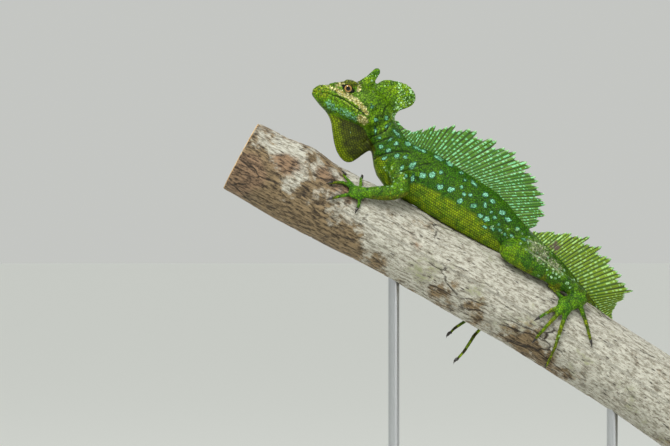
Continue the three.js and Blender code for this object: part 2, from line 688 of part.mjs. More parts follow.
// How far along the branch its middle line passes over x, as a share of its length.
function shareAtX(x) {
  let [low, high] = [0, 1];
  for (let i = 0; i < 30; i++) {
    const middle = (low + high) / 2;
    if (branchLine.getPointAt(middle).x < x) low = middle;
    else high = middle;
  }
  return low;
}

function rodSolid(x, grow = 0) {
  const { centre, along } = branchFrame(shareAtX(x));
  const bottom = BASE.thick - ROD.intoBase - grow;
  const underside = centre.z - BRANCH.radius / along.x;
  const top = underside + ROD.intoBranch + grow;
  const rod = new THREE.CylinderGeometry(ROD.radius + grow, ROD.radius + grow, top - bottom, 18);
  rod.rotateX(Math.PI / 2).translate(x, 0, (top + bottom) / 2);
  const { radius, high } = ROD.collar;
  const collar = new THREE.CylinderGeometry(radius, radius, high, 18);
  collar.rotateX(Math.PI / 2).translate(x, 0, BASE.thick + GAP + high / 2);
  return grow ? solidOf(rod) : solidOf(rod).add(solidOf(collar));
}

// The finished solids
const solids = new Map();
const grownBranch = branchSolid(GAP);
const grownHead = headSolid(GAP);
const grownTrunk = trunk.solid({ from: 0, to: 14, sides: 20, rings: 56, grow: GAP });

const trunkNames = ["neck", "torso", "tail_base", "tail_2", "tail_3", "tail_4", "tail_5", "tail_tip"];
const trunkRings = [6, 17, 10, 7, 7, 7, 8, 9];
const trunkSides = [20, 20, 16, 12, 10, 10, 8, 8];
const PIECES_NEAR_BRANCH = 5;
const trunkPieces = trunk.lengths([0, CUTS.neckEnd, CUTS.hip, ...CUTS.tail, trunk.last], (i) => ({
  sides: trunkSides[i],
  rings: trunkRings[i],
}));
trunkPieces.forEach((piece, i) => {
  let solid = piece;
  if (i === 0) solid = solid.subtract(grownHead);
  if (i < PIECES_NEAR_BRANCH) solid = solid.subtract(grownBranch);
  solids.set(trunkNames[i], largest(solid));
});

const skull = buildHead();
solids.set("head", skull);
for (const [name, side] of [["left_eye", LEFT], ["right_eye", RIGHT]]) {
  solids.set(name, ellipsoid(inHead([EYE.x, side * EYE.y, EYE.z]), Array(3).fill(EYE.radius)));
}
solids.set("head_crest", largest(fin(HEAD_SAIL).subtract(grownHead).subtract(grownTrunk)));
solids.set("brow_crest", largest(fin(BROW_SAIL).subtract(grownHead)));
solids.set("throat_pouch", largest(fin(POUCH).subtract(grownHead).subtract(grownTrunk)));
const headSailClearance = fin({ ...HEAD_SAIL, half: () => 4 });
const backCrest = rayedCrest(BACK_CREST).subtract(grownTrunk).subtract(headSailClearance);
solids.set("back_crest", largest(backCrest));
solids.set("tail_crest", largest(rayedCrest(TAIL_CREST).subtract(grownTrunk)));

const limbLofts = {};
for (const [name, limb] of Object.entries(LIMBS)) {
  const { lower, pieces } = limbPieces(limb);
  limbLofts[name] = lower;
  solids.set(limb.names[0], largest(pieces[0].subtract(grownTrunk).subtract(grownBranch)));
  solids.set(limb.names[1], largest(pieces[1].subtract(grownTrunk).subtract(grownBranch)));
}
for (const [name, spec] of Object.entries(HANDS)) {
  const limb = limbLofts[spec.from];
  const cutter = limb.solid({ ...LIMB_MESH, grow: GAP });
  solids.set(name, largest(hand(spec, limb).subtract(cutter).subtract(grownBranch)));
}

let branch = branchSolid();
let base = baseSolid();
for (const [name, x] of Object.entries(ROD.xs)) {
  const hole = rodSolid(x, GAP);
  branch = branch.subtract(hole);
  base = base.subtract(hole);
  solids.set(name, rodSolid(x));
}
solids.set("branch", branch);
solids.set("stand_base", base);

// The scene graph: groups for the animal's main parts, each mesh placed at the middle of its piece.
const finishOf = (name) => {
  if (name === "branch") return FINISH.bark;
  if (name === "stand_base") return FINISH.base;
  if (name.startsWith("stand_rod")) return FINISH.rod;
  if (name.endsWith("_eye")) return FINISH.eye;
  if (name.includes("crest")) return FINISH.crest;
  if (name === "throat_pouch") return FINISH.throat;
  return name === "torso" ? FINISH.belly : FINISH.skin;
};

function meshOf(name) {
  const geometry = geometryOf(solids.get(name));
  geometry.computeBoundingBox();
  const middle = geometry.boundingBox.getCenter(new THREE.Vector3());
  geometry.translate(-middle.x, -middle.y, -middle.z);
  const mesh = new THREE.Mesh(geometry, new THREE.MeshStandardMaterial(finishOf(name)));
  mesh.name = name;
  mesh.position.copy(middle);
  return mesh;
}

const GROUPS = {
  head_group: ["head", "left_eye", "right_eye", "head_crest", "brow_crest", "throat_pouch"],
  body_group: ["neck", "torso", "back_crest"],
  tail_group: ["tail_base", "tail_2", "tail_3", "tail_4", "tail_5", "tail_tip", "tail_crest"],
  left_arm_group: ["left_upper_arm", "left_forearm", "left_hand"],
  right_arm_group: ["right_upper_arm", "right_forearm", "right_hand"],
  left_leg_group: ["left_thigh", "left_shank", "left_foot"],
  right_leg_group: ["right_thigh", "right_shank", "right_foot"],
  perch_group: ["branch", "stand_base", "stand_rod_front", "stand_rod_back"],
};

const basilisk = new THREE.Group();
for (const names of Object.values(GROUPS)) {
  const group = new THREE.Group();
  group.add(...names.map(meshOf));
  basilisk.add(group);
}

export default basilisk;
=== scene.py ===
# %% [markdown]
# # A green basilisk on a branch
#
# This notebook dresses a CAD model of a green basilisk, a crested lizard. The CAD gives true sizes and
# places. Here each part gets the surface that a real one shows: one unbroken skin with scales, folds and
# turquoise spots, sails with fine rays, wet eyes, dark claws, weathered bark and a plain display stand.
#
# Everything is in metres in the CAD's own frame: +Z is up, the nose points to -X, and the left side faces
# -Y.

import json
import math
from types import SimpleNamespace

import bpy
import numpy as np
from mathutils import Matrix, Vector, kdtree, noise

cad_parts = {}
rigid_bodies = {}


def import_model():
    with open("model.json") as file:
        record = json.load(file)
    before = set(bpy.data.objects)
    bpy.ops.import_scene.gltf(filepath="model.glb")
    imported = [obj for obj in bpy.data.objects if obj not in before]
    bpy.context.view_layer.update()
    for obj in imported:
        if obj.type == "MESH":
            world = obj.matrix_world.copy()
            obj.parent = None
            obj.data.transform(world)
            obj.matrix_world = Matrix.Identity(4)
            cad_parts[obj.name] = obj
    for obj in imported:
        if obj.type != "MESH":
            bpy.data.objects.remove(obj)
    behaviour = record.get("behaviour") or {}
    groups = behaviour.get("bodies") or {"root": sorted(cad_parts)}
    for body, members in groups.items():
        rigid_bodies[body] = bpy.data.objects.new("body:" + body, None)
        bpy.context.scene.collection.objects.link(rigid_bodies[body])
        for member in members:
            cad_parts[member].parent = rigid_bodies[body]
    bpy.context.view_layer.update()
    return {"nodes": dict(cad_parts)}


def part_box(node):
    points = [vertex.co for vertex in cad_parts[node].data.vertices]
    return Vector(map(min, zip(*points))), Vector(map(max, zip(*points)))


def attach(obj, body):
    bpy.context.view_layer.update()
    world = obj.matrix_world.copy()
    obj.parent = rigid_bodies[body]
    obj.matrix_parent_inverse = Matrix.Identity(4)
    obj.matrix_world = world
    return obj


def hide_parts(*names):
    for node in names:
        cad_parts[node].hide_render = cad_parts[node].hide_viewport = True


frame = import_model()
MM = 0.001

# %% [markdown]
# ## Small helpers
#
# An operator works on whatever is selected, and loading the frame leaves all of it selected. So each step
# first selects only what it means to change. Shapes are worked out in millimetres with numpy, because a
# skin of a hundred thousand points is slow to move one point at a time.

# %% Selecting and editing pieces


def only(*pieces):
    """Selects these pieces alone, with the first one active."""
    if bpy.context.object and bpy.context.object.mode != "OBJECT":
        bpy.ops.object.mode_set(mode="OBJECT")
    bpy.ops.object.select_all(action="DESELECT")
    for piece in pieces:
        piece.select_set(True)
    bpy.context.view_layer.objects.active = pieces[0]


def in_edit_mode(piece, *steps, select="SELECT"):
    """Runs mesh operators on one piece in edit mode. Each step is a function with no arguments."""
    only(piece)
    bpy.ops.object.mode_set(mode="EDIT")
    bpy.ops.mesh.select_mode(type="VERT")
    bpy.ops.mesh.select_all(action=select)
    for step in steps:
        step()
    bpy.ops.object.mode_set(mode="OBJECT")


def merge_points():
    bpy.ops.mesh.remove_doubles(threshold=0.002 * MM)


def apply_modifier(piece, kind, **settings):
    """Adds a modifier with these settings and applies it."""
    only(piece)
    modifier = piece.modifiers.new(kind.lower(), kind)
    for name, value in settings.items():
        setattr(modifier, name, value)
    bpy.ops.object.modifier_apply(modifier=modifier.name)


# %% Copying, joining and counting


def copy_of(node):
    """A loose copy of a CAD node's mesh with its shared points merged. The node is never changed."""
    copy = bpy.data.objects.new(node + "_copy", frame["nodes"][node].data.copy())
    bpy.context.scene.collection.objects.link(copy)
    in_edit_mode(copy, merge_points)
    return copy


def fresh_piece():
    """The object just added, selected alone, with its place, turn and size applied to its points."""
    piece = bpy.context.object
    only(piece)
    bpy.ops.object.transform_apply(location=True, rotation=True, scale=True)
    return piece


def joined(name, pieces):
    """One object out of several, under a new name."""
    only(*pieces)
    if len(pieces) > 1:
        bpy.ops.object.join()
    piece = bpy.context.object
    piece.name = piece.data.name = name
    return piece


def triangles_of(piece):
    return sum(len(face.vertices) - 2 for face in piece.data.polygons)


# %% Reading, moving and painting points


def points_of(piece):
    """The piece's points as an array in millimetres."""
    co = np.empty(len(piece.data.vertices) * 3)
    piece.data.vertices.foreach_get("co", co)
    return co.reshape(-1, 3) / MM


def normals_of(piece):
    normals = np.empty(len(piece.data.vertices) * 3)
    piece.data.vertex_normals.foreach_get("vector", normals)
    return normals.reshape(-1, 3)


def move_points(piece, points):
    piece.data.vertices.foreach_set("co", (points * MM).ravel())
    piece.data.update()


def select_points(piece, mask):
    """Selects the points of a mask, and the edges and faces between them, in object mode."""
    in_edit_mode(piece, select="DESELECT")
    piece.data.vertices.foreach_set("select", mask)


def paint(piece, name, values):
    """Stores one number per point, which a material reads with an Attribute node."""
    layer = piece.data.attributes.get(name) or piece.data.attributes.new(name, "FLOAT", "POINT")
    layer.data.foreach_set("value", np.ascontiguousarray(values, dtype=np.float32))


# %% Steps, bumps and bent lines


def step_up(low, high, x):
    """0 below low, 1 above high, and a smooth step between."""
    t = np.clip((x - low) / (high - low), 0, 1)
    return t * t * (3 - 2 * t)


def bump(x, width):
    """A rounded bump of height 1 at x = 0."""
    return np.exp(-((x / width) ** 2))


def smooth_curve(points, shares):
    """Places on a smooth curve through the points: share 0 is its start and 1 its end."""
    p = np.array(points, float)
    p = np.vstack([2 * p[0] - p[1], p, 2 * p[-1] - p[-2]])
    gaps = np.sqrt(np.linalg.norm(np.diff(p, axis=0), axis=1))
    spot = np.clip(np.asarray(shares, float), 0, 1) * (len(points) - 1)
    i = np.minimum(spot.astype(int), len(points) - 2)
    t = (spot - i)[:, None]
    d0, d1, d2 = (gaps[i + k][:, None] for k in range(3))
    x0, x1, x2, x3 = (p[i + k] for k in range(4))
    start = ((x1 - x0) / d0 - (x2 - x0) / (d0 + d1) + (x2 - x1) / d1) * d1
    end = ((x2 - x1) / d1 - (x3 - x1) / (d1 + d2) + (x3 - x2) / d2) * d1
    bend = 3 * (x2 - x1) - 2 * start - end
    twist = 2 * (x1 - x2) + start + end
    return x1 + start * t + bend * t**2 + twist * t**3


def line_distance(points, line):
    """For each 2-D point: distance to a bent line, mm along it, and its side (+1 is to the left)."""
    line = np.array(line, float)
    best = np.full(len(points), np.inf)
    along = np.zeros(len(points))
    side = np.ones(len(points))
    start = 0.0
    for a, b in zip(line[:-1], line[1:]):
        step = b - a
        length = np.linalg.norm(step)
        t = np.clip((points - a) @ step / length**2, 0, 1)
        away = points - (a + t[:, None] * step)
        distance = np.linalg.norm(away, axis=1)
        near = distance < best
        best[near] = distance[near]
        along[near] = start + t[near] * length
        cross = step[0] * (points[:, 1] - a[1]) - step[1] * (points[:, 0] - a[0])
        side[near] = np.sign(cross[near])
        start += length
    return best, along, side


# %% [markdown]
# ## The camera
#
# The photo looks level and square across the branch through a long lens, from about three metres away.
# The lens is worked out from the width that the frame takes in at the lizard's distance, so that a
# millimetre on the model covers the same share of the picture.

# %% Camera
FRAME_WIDTH = 546.05  # mm of subject across the picture
FRAME_CENTRE = (-110.0, 359.4)  # x and z in mm at the middle of the picture
CAMERA_DISTANCE = 3000.0
SENSOR = 36.0

bpy.ops.object.camera_add(
    location=(FRAME_CENTRE[0] * MM, -CAMERA_DISTANCE * MM, FRAME_CENTRE[1] * MM),
    rotation=(math.pi / 2, 0, 0),
)
camera = bpy.context.object
camera.data.sensor_width = SENSOR
camera.data.lens = SENSOR * CAMERA_DISTANCE / FRAME_WIDTH
camera.data.clip_start = 0.05
camera.data.clip_end = 100
bpy.context.scene.camera = camera
print("lens in mm:", round(camera.data.lens, 1))

# %% [markdown]
# ## One skin for the whole animal
#
# A lizard's skin runs from lip to tail tip without a seam, but the CAD parts it into head, neck, trunk
# and limbs with thin gaps. A skin could be sewn from patches or sculpted. Here copies of the flesh parts
# are swollen by a hair so that they overlap, and a voxel remesh melts them into one closed surface of
# even quads, which then takes folds, lids and lips. The head is divided once more, because the eye looks
# there first.

# %% The head's own frame
# x runs back from the tip of the snout and z up from the line of the mouth, both in mm.
SNOUT = np.array([-128.4, 0.0, 466.2])
HEAD_PITCH = math.radians(21)
EYE = np.array([26.3, 5.6, 12.6])
EYE_RADIUS = 6.5  # larger and deeper than the CAD's ball, with its front in the same place


def to_head(points):
    d = points - SNOUT
    c, s = math.cos(HEAD_PITCH), math.sin(HEAD_PITCH)
    return np.column_stack([d[:, 0] * c - d[:, 2] * s, d[:, 1], d[:, 0] * s + d[:, 2] * c])


def from_head(points):
    c, s = math.cos(HEAD_PITCH), math.sin(HEAD_PITCH)
    x, y, z = points[:, 0], points[:, 1], points[:, 2]
    return np.column_stack([x * c + z * s, y, -x * s + z * c]) + SNOUT


def eye_centre(side):
    return from_head(np.array([[EYE[0], side * EYE[1], EYE[2]]]))[0]


print("middle of the left eye in mm:", [round(float(v), 1) for v in eye_centre(-1)])

# %% Melt the flesh parts together
SKIN_NODES = ["head", "head_crest", "brow_crest", "throat_pouch", "neck", "torso"]
SKIN_NODES += ["tail_base", "tail_2", "tail_3", "tail_4", "tail_5", "tail_tip"]
for limb in ("upper_arm", "forearm", "hand", "thigh", "shank", "foot"):
    SKIN_NODES += ["left_" + limb, "right_" + limb]
SWELL = 0.22  # mm, more than half the gap between parts
VOXEL = 1.06  # mm
SOCKET_FILL = 0.2  # mm that the ball in a socket is larger than the eyeball

pieces = [copy_of(name) for name in SKIN_NODES]
for side in (-1, 1):
    # A ball fills each socket. The lids are shaped over it below.
    place = Vector(eye_centre(side)) * MM
    ball_radius = (EYE_RADIUS + SOCKET_FILL) * MM
    bpy.ops.mesh.primitive_uv_sphere_add(segments=32, ring_count=20, radius=ball_radius, location=place)
    pieces.append(fresh_piece())
skin = joined("skin", pieces)
apply_modifier(skin, "DISPLACE", strength=SWELL * MM, mid_level=0)
apply_modifier(skin, "REMESH", mode="VOXEL", voxel_size=VOXEL * MM, adaptivity=0)
in_edit_mode(skin, lambda: bpy.ops.mesh.vertices_smooth(factor=0.5, repeat=3))
print("skin points after the remesh:", len(skin.data.vertices))

# %% Divide the head once more
HEAD_LENGTH = 62
FINE_HEIGHTS = (-13.5, 24)  # from below the jaw to the root of the crest

local = to_head(points_of(skin))
fine = (local[:, 0] < HEAD_LENGTH) & (local[:, 2] > FINE_HEIGHTS[0]) & (local[:, 2] < FINE_HEIGHTS[1])
select_points(skin, fine)
only(skin)
bpy.ops.object.mode_set(mode="EDIT")
bpy.ops.mesh.subdivide(number_cuts=1, smoothness=0)
bpy.ops.mesh.vertices_smooth(factor=0.5, repeat=2)
bpy.ops.object.mode_set(mode="OBJECT")
print("skin points with a finer head:", len(skin.data.vertices))

# %% [markdown]
# ## Lids, lips, nostrils and ears
#
# The eyelids are thick scaly folds that lie on the ball of the eye and part in an almond. Modelling them
# as separate rings would leave a seam, so the skin's own points are moved: those in the almond sink
# behind the eyeball, and those around it are laid on a slightly larger sphere with two ring folds. The
# mouth is a groove between two rows of lip plates, the nostril a pit near the snout's tip, and the ear a
# shallow drum behind the jaw.

# %% Lids
LID_OPENING = (5.9, 3.1)  # half width and half height, mm
LID_TILT = math.radians(-8)
LID_REACH = 4.4  # mm of skin round the opening that follows the eyeball
LID_THICK = 0.35
SUNK = 0.8  # mm from the eyeball's surface down to the skin hidden behind it


def almond(a, b):
    """Roughly the distance in mm outside the eye's opening; negative is inside."""
    wide, high = LID_OPENING
    c, s = math.cos(LID_TILT), math.sin(LID_TILT)
    a, b = a * c + b * s, b * c - a * s
    return (np.abs(b) / high + np.abs(a / wide) ** 1.7 - 1) * high * 0.8


def laid_on_eyeball(local, side):
    """The head's points, with those round one eye laid on its ball as lids with two ring folds."""
    centre = np.array([EYE[0], side * EYE[1], EYE[2]])
    d = local - centre
    r = np.linalg.norm(d, axis=1)
    sideways = d[:, 1] * side
    outside = almond(d[:, 0], d[:, 2])
    near = (r < 11.5) & (sideways > 0.8)
    lid = EYE_RADIUS + LID_THICK + 0.4 * bump(outside - 0.45, 0.5) - 0.3 * bump(outside - 1.55, 0.3)
    lid += 0.3 * bump(outside - 2.4, 0.5) - 0.3 * bump(outside - 3.3, 0.35)
    target = np.where(outside < 0, EYE_RADIUS - SUNK, lid)
    share = near * (1 - step_up(LID_REACH * 0.5, LID_REACH, outside)) * step_up(0.8, 2.2, sideways)
    share *= 1 - step_up(4.2, 6.2, d[:, 2])
    r_new = r + (target - r) * share
    return centre + d * (r_new / np.maximum(r, 1e-6))[:, None]


local = to_head(points_of(skin))
for side in (-1, 1):
    local = laid_on_eyeball(local, side)
move_points(skin, from_head(local))
print("eye opening in mm:", [2 * half for half in LID_OPENING])

# %% Lips
MOUTH = [
    # x and z in the head's frame
    (-2, -0.6), (1, 0.7), (5, 1.7), (12.6, 3.2), (20.6, 3.5), (27.1, 2.9), (34, 1.4), (40, -0.2),
    (46.5, -2.2),
]
MOUTH_END = 44  # mm along the mouth
MOUTH_DEPTH = 0.75
LIP_PLATE = 3.1  # mm along the mouth
LIP_SWELL = 0.34

points = points_of(skin)
normals = normals_of(skin)
local = to_head(points)
flat = local[:, [0, 2]]
push = np.zeros(len(points))

mouth_gap, mouth_along, _ = line_distance(flat, MOUTH)
face = (local[:, 0] < 50) & (np.abs(local[:, 1]) > 0.4)
groove = bump(mouth_gap, 0.45) * step_up(MOUTH_END + 2.5, MOUTH_END, mouth_along)
push -= MOUTH_DEPTH * groove * face
joints = bump((mouth_along / LIP_PLATE) % 1 - 0.5, 0.09)
row = step_up(0.3, 0.6, mouth_gap) * (1 - step_up(2.5, 2.9, mouth_gap)) * (mouth_along < MOUTH_END)
push += face * row * (LIP_SWELL - LIP_SWELL * joints) * (mouth_along > 1)
print("plates along each lip:", round(MOUTH_END / LIP_PLATE))

# %% Nostrils, ears and ridges
# Places as x and z in the head's frame.
NOSTRIL = (5.3, 6.9)
EAR = (53, 2.6)
JAW_MUSCLE = (44, -5)
BROW_RIDGE = [(8, 9), (12.1, 11.6), (16.5, 15.6), (21.9, 18.4), (28, 19.6), (34, 18)]
STRIPE_RIDGE = [(10, 8), (20, 7.6), (32, 6.6), (42, 3.4), (48, -1)]


def away_from(flat_points, centre, half_long=1.0, half_high=1.0):
    """Distance from a place in side view, in mm, or as a share of an ellipse's half sizes."""
    return np.hypot((flat_points[:, 0] - centre[0]) / half_long, (flat_points[:, 1] - centre[1]) / half_high)


off_middle = np.abs(local[:, 1]) > 1
nostril = away_from(flat, NOSTRIL)
push += off_middle * (0.45 * bump(nostril - 1.6, 0.6) - 1.1 * bump(nostril, 0.8))
ear = away_from(flat, EAR, 2.4, 3.6)
push += off_middle * (0.25 * bump(ear - 1.2, 0.25) - 0.7 * (1 - step_up(0.5, 1.0, ear)))
push += off_middle * 0.25 * bump(line_distance(flat, BROW_RIDGE)[0], 0.9)
push += off_middle * 0.35 * bump(line_distance(flat, STRIPE_RIDGE)[0], 1.1)
push += off_middle * 0.8 * bump(away_from(flat, JAW_MUSCLE, 9, 5), 0.8)
print("highest ridge of the head in mm:", round(float(push.max()), 2))

# %% [markdown]
# ## Folds
#
# Where the skin bends it creases: behind the jaw, at the root of the crest, in wrinkles on the pouch, in
# two sharp folds round the neck, one over the shoulder, and small ones behind the arm and in the groin.
# They could be cut in by hand with a sculpting brush. Here each is a short bent line in side view, and
# the skin sinks along it and rises beside it, on both sides of the body.

# %% Folds of the head
# Behind the jaw, at the root of the crest, and the pouch's wrinkles: x and z in the head's frame, then depth
# and width.
HEAD_FOLDS = [
    ([(63.5, 14), (60.6, 9.8), (60.2, 6.3), (61, 1)], 0.8, 0.9),
    ([(57.6, 9), (56.8, 2), (57.6, -4.5), (59, -11)], 0.7, 0.9),
    ([(68, 26), (64, 22), (61, 17)], 0.35, 0.8),
    ([(75, 22), (69, 18), (64.5, 12)], 0.35, 0.8),
    ([(53.5, -24.5), (56.5, -17.5), (58.4, -12.8)], 0.5, 0.8),
    ([(57, -24.2), (60, -20.5), (62.5, -17)], 0.45, 0.7),
]

# How deep each fold is, for the material to paint it dark as shade in the crease.
crease_shade_depth = np.zeros(len(points))
for line, depth, width in HEAD_FOLDS:
    gap, run, _ = line_distance(flat, line)
    fade = step_up(0, 3, run)
    dip = bump(gap, width) * fade * (np.abs(local[:, 1]) > 0.3)
    push += depth * (0.4 * bump(gap - 2 * width, width) * fade - dip)
    crease_shade_depth = np.maximum(crease_shade_depth, dip * depth)
print("folds of the head:", len(HEAD_FOLDS))

# %% Creases of neck, shoulder and groin
CREASES = [
    # x and z in mm along the fold, then its depth and width
    ([(-87.5, 423.4), (-80.8, 429.4), (-73.8, 431.8), (-68.4, 434.6), (-64.5, 441)], 1.2, 0.9),
    ([(-84, 420.8), (-76.9, 424.6), (-69.9, 427.1), (-61.5, 430.6)], 1.1, 0.8),
    ([(-90, 412.5), (-84.5, 417.3), (-78, 421.6)], 0.9, 0.8),
    ([(-82, 409.4), (-73.8, 414.2), (-66.8, 416.4), (-60.6, 417.5), (-52, 418.2), (-46, 415.4)], 1.2, 0.9),
    ([(-60, 400.4), (-52.8, 402), (-45, 405.5), (-37.2, 407.4), (-28, 408)], 0.9, 0.8),
    ([(-52, 394), (-41.1, 389.7), (-33.3, 386.5), (-22, 381.6)], 0.35, 0.8),
    ([(15.5, 354), (14, 348), (15, 342)], 0.6, 0.8),
    ([(26, 348), (24.2, 344.5), (24.6, 339)], 0.6, 0.8),
    ([(46, 344), (50, 336), (57, 328)], 0.3, 0.9),
]


def length_of(line):
    return sum(math.dist(a, b) for a, b in zip(line[:-1], line[1:]))


side_view = points[:, [0, 2]]
flank = step_up(2, 6, np.abs(points[:, 1]))
for line, depth, width in CREASES:
    gap, run, _ = line_distance(side_view, line)
    fade = step_up(0, 4, run) * step_up(0, 4, length_of(line) - run)
    dip = bump(gap, width) * fade * flank
    swell = bump(gap - 2.2 * width, width) * fade * flank
    push += depth * (0.35 * swell - dip)
    crease_shade_depth = np.maximum(crease_shade_depth, dip * min(1, depth))

move_points(skin, points + normals * push[:, None])
# Stored for the material, which paints the folds near-black as shade.
paint(skin, "painted_crease_shade", crease_shade_depth)
print("deepest push in mm:", round(float(push.min()), 2))

# %% [markdown]
# ## Where the colours go
#
# The markings are laid out here as plain distances in millimetres: how far a point lies inside a spot,
# below the edge of the belly, or within the stripe under the eye. A material can turn a distance into a
# crisp edge, however coarse the mesh is, which a painted colour cannot.

# %% Distances into spots
FAR_OUT = -9.0  # mm, stored where a marking is nowhere near


def spots_field(flat_points, spots):
    """How far inside the nearest spot each point lies, in mm; negative is outside."""
    inside = np.full(len(flat_points), FAR_OUT)
    for x, z, long, wide, turn in spots:
        c, s = math.cos(math.radians(turn)), math.sin(math.radians(turn))
        dx, dz = flat_points[:, 0] - x, flat_points[:, 1] - z
        reach = np.hypot((dx * c + dz * s) / long, (dz * c - dx * s) / wide)
        inside = np.maximum(inside, (1 - reach) * min(long, wide))
    return inside


def paint_where(mask, name, distance):
    """Stores a marking's distance on the skin where the mask holds, and far out elsewhere."""
    paint(skin, name, np.where(mask, distance, FAR_OUT))


points = points_of(skin)
normals = normals_of(skin)
local = to_head(points)
flat = local[:, [0, 2]]
side_view = points[:, [0, 2]]
x, y, z = points.T
head_x, head_y, head_z = local.T
print("skin points to colour:", len(points))

# %% [markdown]
# ## Spots and belly
#
# Each turquoise spot is a patch of pale scales with a dark rim. Spots could be scattered at random, but
# their order along the flank is what the eye knows this animal by. So each one is a small ellipse, set
# where the photo shows it. The belly's edge is one bent line from the throat to the groin.

# %% Turquoise spots
# On the flank: x, z, half length, half width and turn in degrees, in side view.
SPOTS = [
    (-72.5, 421.4, 1.9, 1.7, 0), (-66.8, 418, 2.1, 1.5, 10), (-60.3, 423.8, 1.9, 1.7, 0),
    (-59.9, 432.4, 3.6, 1.2, -48), (-50.5, 423.8, 2.4, 1.9, -40), (-43.6, 420.5, 3.0, 1.2, -35),
    (-37.8, 418, 2.1, 1.3, -30), (-69.6, 412, 2.2, 1.2, 20), (-59.9, 414, 1.9, 1.6, 0),
    (-53, 413.2, 1.7, 1.3, 30), (-47.3, 405.9, 3.4, 2.2, 38), (-55.7, 404.2, 2.2, 1.4, 60),
    (-47.3, 395.6, 1.5, 3.0, -12), (-39.1, 398, 2.8, 2.4, 20), (-31.2, 398.3, 2.8, 2.5, 0),
    (-23.6, 400.5, 1.9, 1.5, 30), (-25, 388.7, 3.0, 2.2, 12), (-16, 386.6, 2.8, 2.0, 15),
    (-8.7, 377.2, 2.5, 2.0, 10), (2.5, 373.3, 2.9, 1.8, 5), (-7.3, 400.2, 1.6, 1.2, 0),
    (2.9, 391.4, 3.2, 1.4, -50), (12, 382.4, 2.3, 1.9, -20), (17.8, 376.9, 2.4, 1.8, -30),
    (25.5, 367.8, 2.8, 1.9, -25), (30.2, 362.3, 2.4, 1.7, -10), (20, 363.5, 1.9, 1.5, 0),
    (12.7, 362.6, 2.6, 2.2, 20), (7.7, 365.3, 2.2, 1.7, 0), (-0.3, 382, 1.6, 1.6, 0),
    (11.7, 373.7, 1.5, 2.3, 10), (16.7, 368.5, 1.2, 1.2, 0), (-7.3, 388.7, 1.5, 1.5, 0),
    (-5.7, 383, 1.3, 1.7, 0), (-16.7, 407.5, 2.9, 1.9, -30), (-26, 412.4, 4.2, 1.4, -30),
    (38.3, 354.5, 1.9, 1.4, 0), (17.4, 355.3, 2.2, 1.3, -30), (11.4, 356.2, 2.0, 1.4, -30),
    (23.3, 353.7, 1.6, 1.2, 0), (27.7, 350, 1.4, 1.2, 0), (-4.5, 394.5, 1.3, 1.1, 0),
    (33, 349, 1.4, 1.0, 0), (43, 346.5, 1.6, 1.0, -20), (-52.5, 397.4, 1.1, 1.5, 0),
    (22.5, 358.2, 1.4, 1.2, 0), (-80.1, 453.6, 0.7, 1.7, 0), (-77, 443.1, 1.6, 1.6, 0),
    (-68.4, 444.6, 1.7, 1.6, 0), (-67.6, 438, 2.2, 1.0, 40), (-77, 434.1, 0.9, 2.2, 0),
    (-74.2, 428.6, 1.5, 1.1, 30), (-65.2, 427.4, 2.0, 0.8, 50),
]
# Smaller ones on the limbs, in the same way. They are scattered down the upper arm and crowd on the thigh.
SMALL_SPOTS = [
    (-70, 404.7, 1.3, 0.8, 20), (-68.9, 401.9, 0.9, 0.7, -60), (-66.1, 400.2, 1.1, 0.6, -50),
    (-65.4, 397.2, 0.8, 0.7, 0), (-62.6, 395.9, 0.8, 0.6, 0), (-62.4, 392.9, 1.0, 0.6, 40),
    (-59.6, 391.6, 0.8, 0.7, 0), (17.1, 356.1, 2.2, 1.0, 45), (25.4, 351.5, 0.9, 0.9, 0),
    (30.1, 354.6, 1.2, 0.9, 0), (37.9, 354.1, 1.8, 1.2, 0), (42, 350.9, 1.1, 0.9, 0),
    (29.5, 347.6, 1.1, 0.8, 0), (34.5, 348.1, 1.0, 0.9, 0), (39.9, 342.9, 1.0, 1.0, 0),
    (44.1, 337.9, 1.1, 0.8, 0), (46.2, 343.7, 0.9, 1.7, 0), (47.7, 348.1, 1.2, 0.8, 0),
    (54, 335.1, 1.0, 1.0, 0), (54.8, 331.2, 1.1, 0.7, 0), (58.1, 326.5, 1.0, 0.8, 0),
    (63.3, 331.2, 0.9, 0.9, 0), (61.3, 321.8, 1.2, 0.8, 0), (65.9, 319.2, 1.0, 0.9, 0),
    (68, 314.8, 1.2, 0.8, 0), (61.8, 317.2, 0.9, 0.8, 0), (73.7, 318.2, 0.9, 1.6, 0),
    (77.6, 310.9, 1.7, 1.3, 0), (71.1, 315.9, 0.9, 0.8, 0), (80, 307.3, 1.2, 0.9, 0),
    (82, 314, 1.1, 0.9, 0), (-64, 389, 1.0, 0.8, 0),
]
SPOTS_START = -86  # mm, where the neck ends and the head begins

paint_where(x > SPOTS_START, "spot", spots_field(side_view, SPOTS))
paint(skin, "small_spot", spots_field(side_view, SMALL_SPOTS))
print("spots on flank and limbs:", len(SPOTS), len(SMALL_SPOTS))

# %% Belly
BELLY_EDGE = [
    (-100, 418), (-84, 412.5), (-74, 413.5), (-66.8, 411), (-61.5, 402.5), (-53.8, 397.7), (-50.5, 392.8),
    (-40.8, 389.6), (-32.6, 386.3), (-24.5, 382.2), (-14.7, 376.5), (-8.2, 372.5), (3.3, 366.3),
    (10.2, 360.6), (18, 351), (24, 341), (40, 326),
]
edge_gap, _, edge_side = line_distance(side_view, BELLY_EDGE)
below_edge = -edge_gap * edge_side
paint(skin, "belly", below_edge)
print("points on the belly:", int((below_edge > 0).sum()))
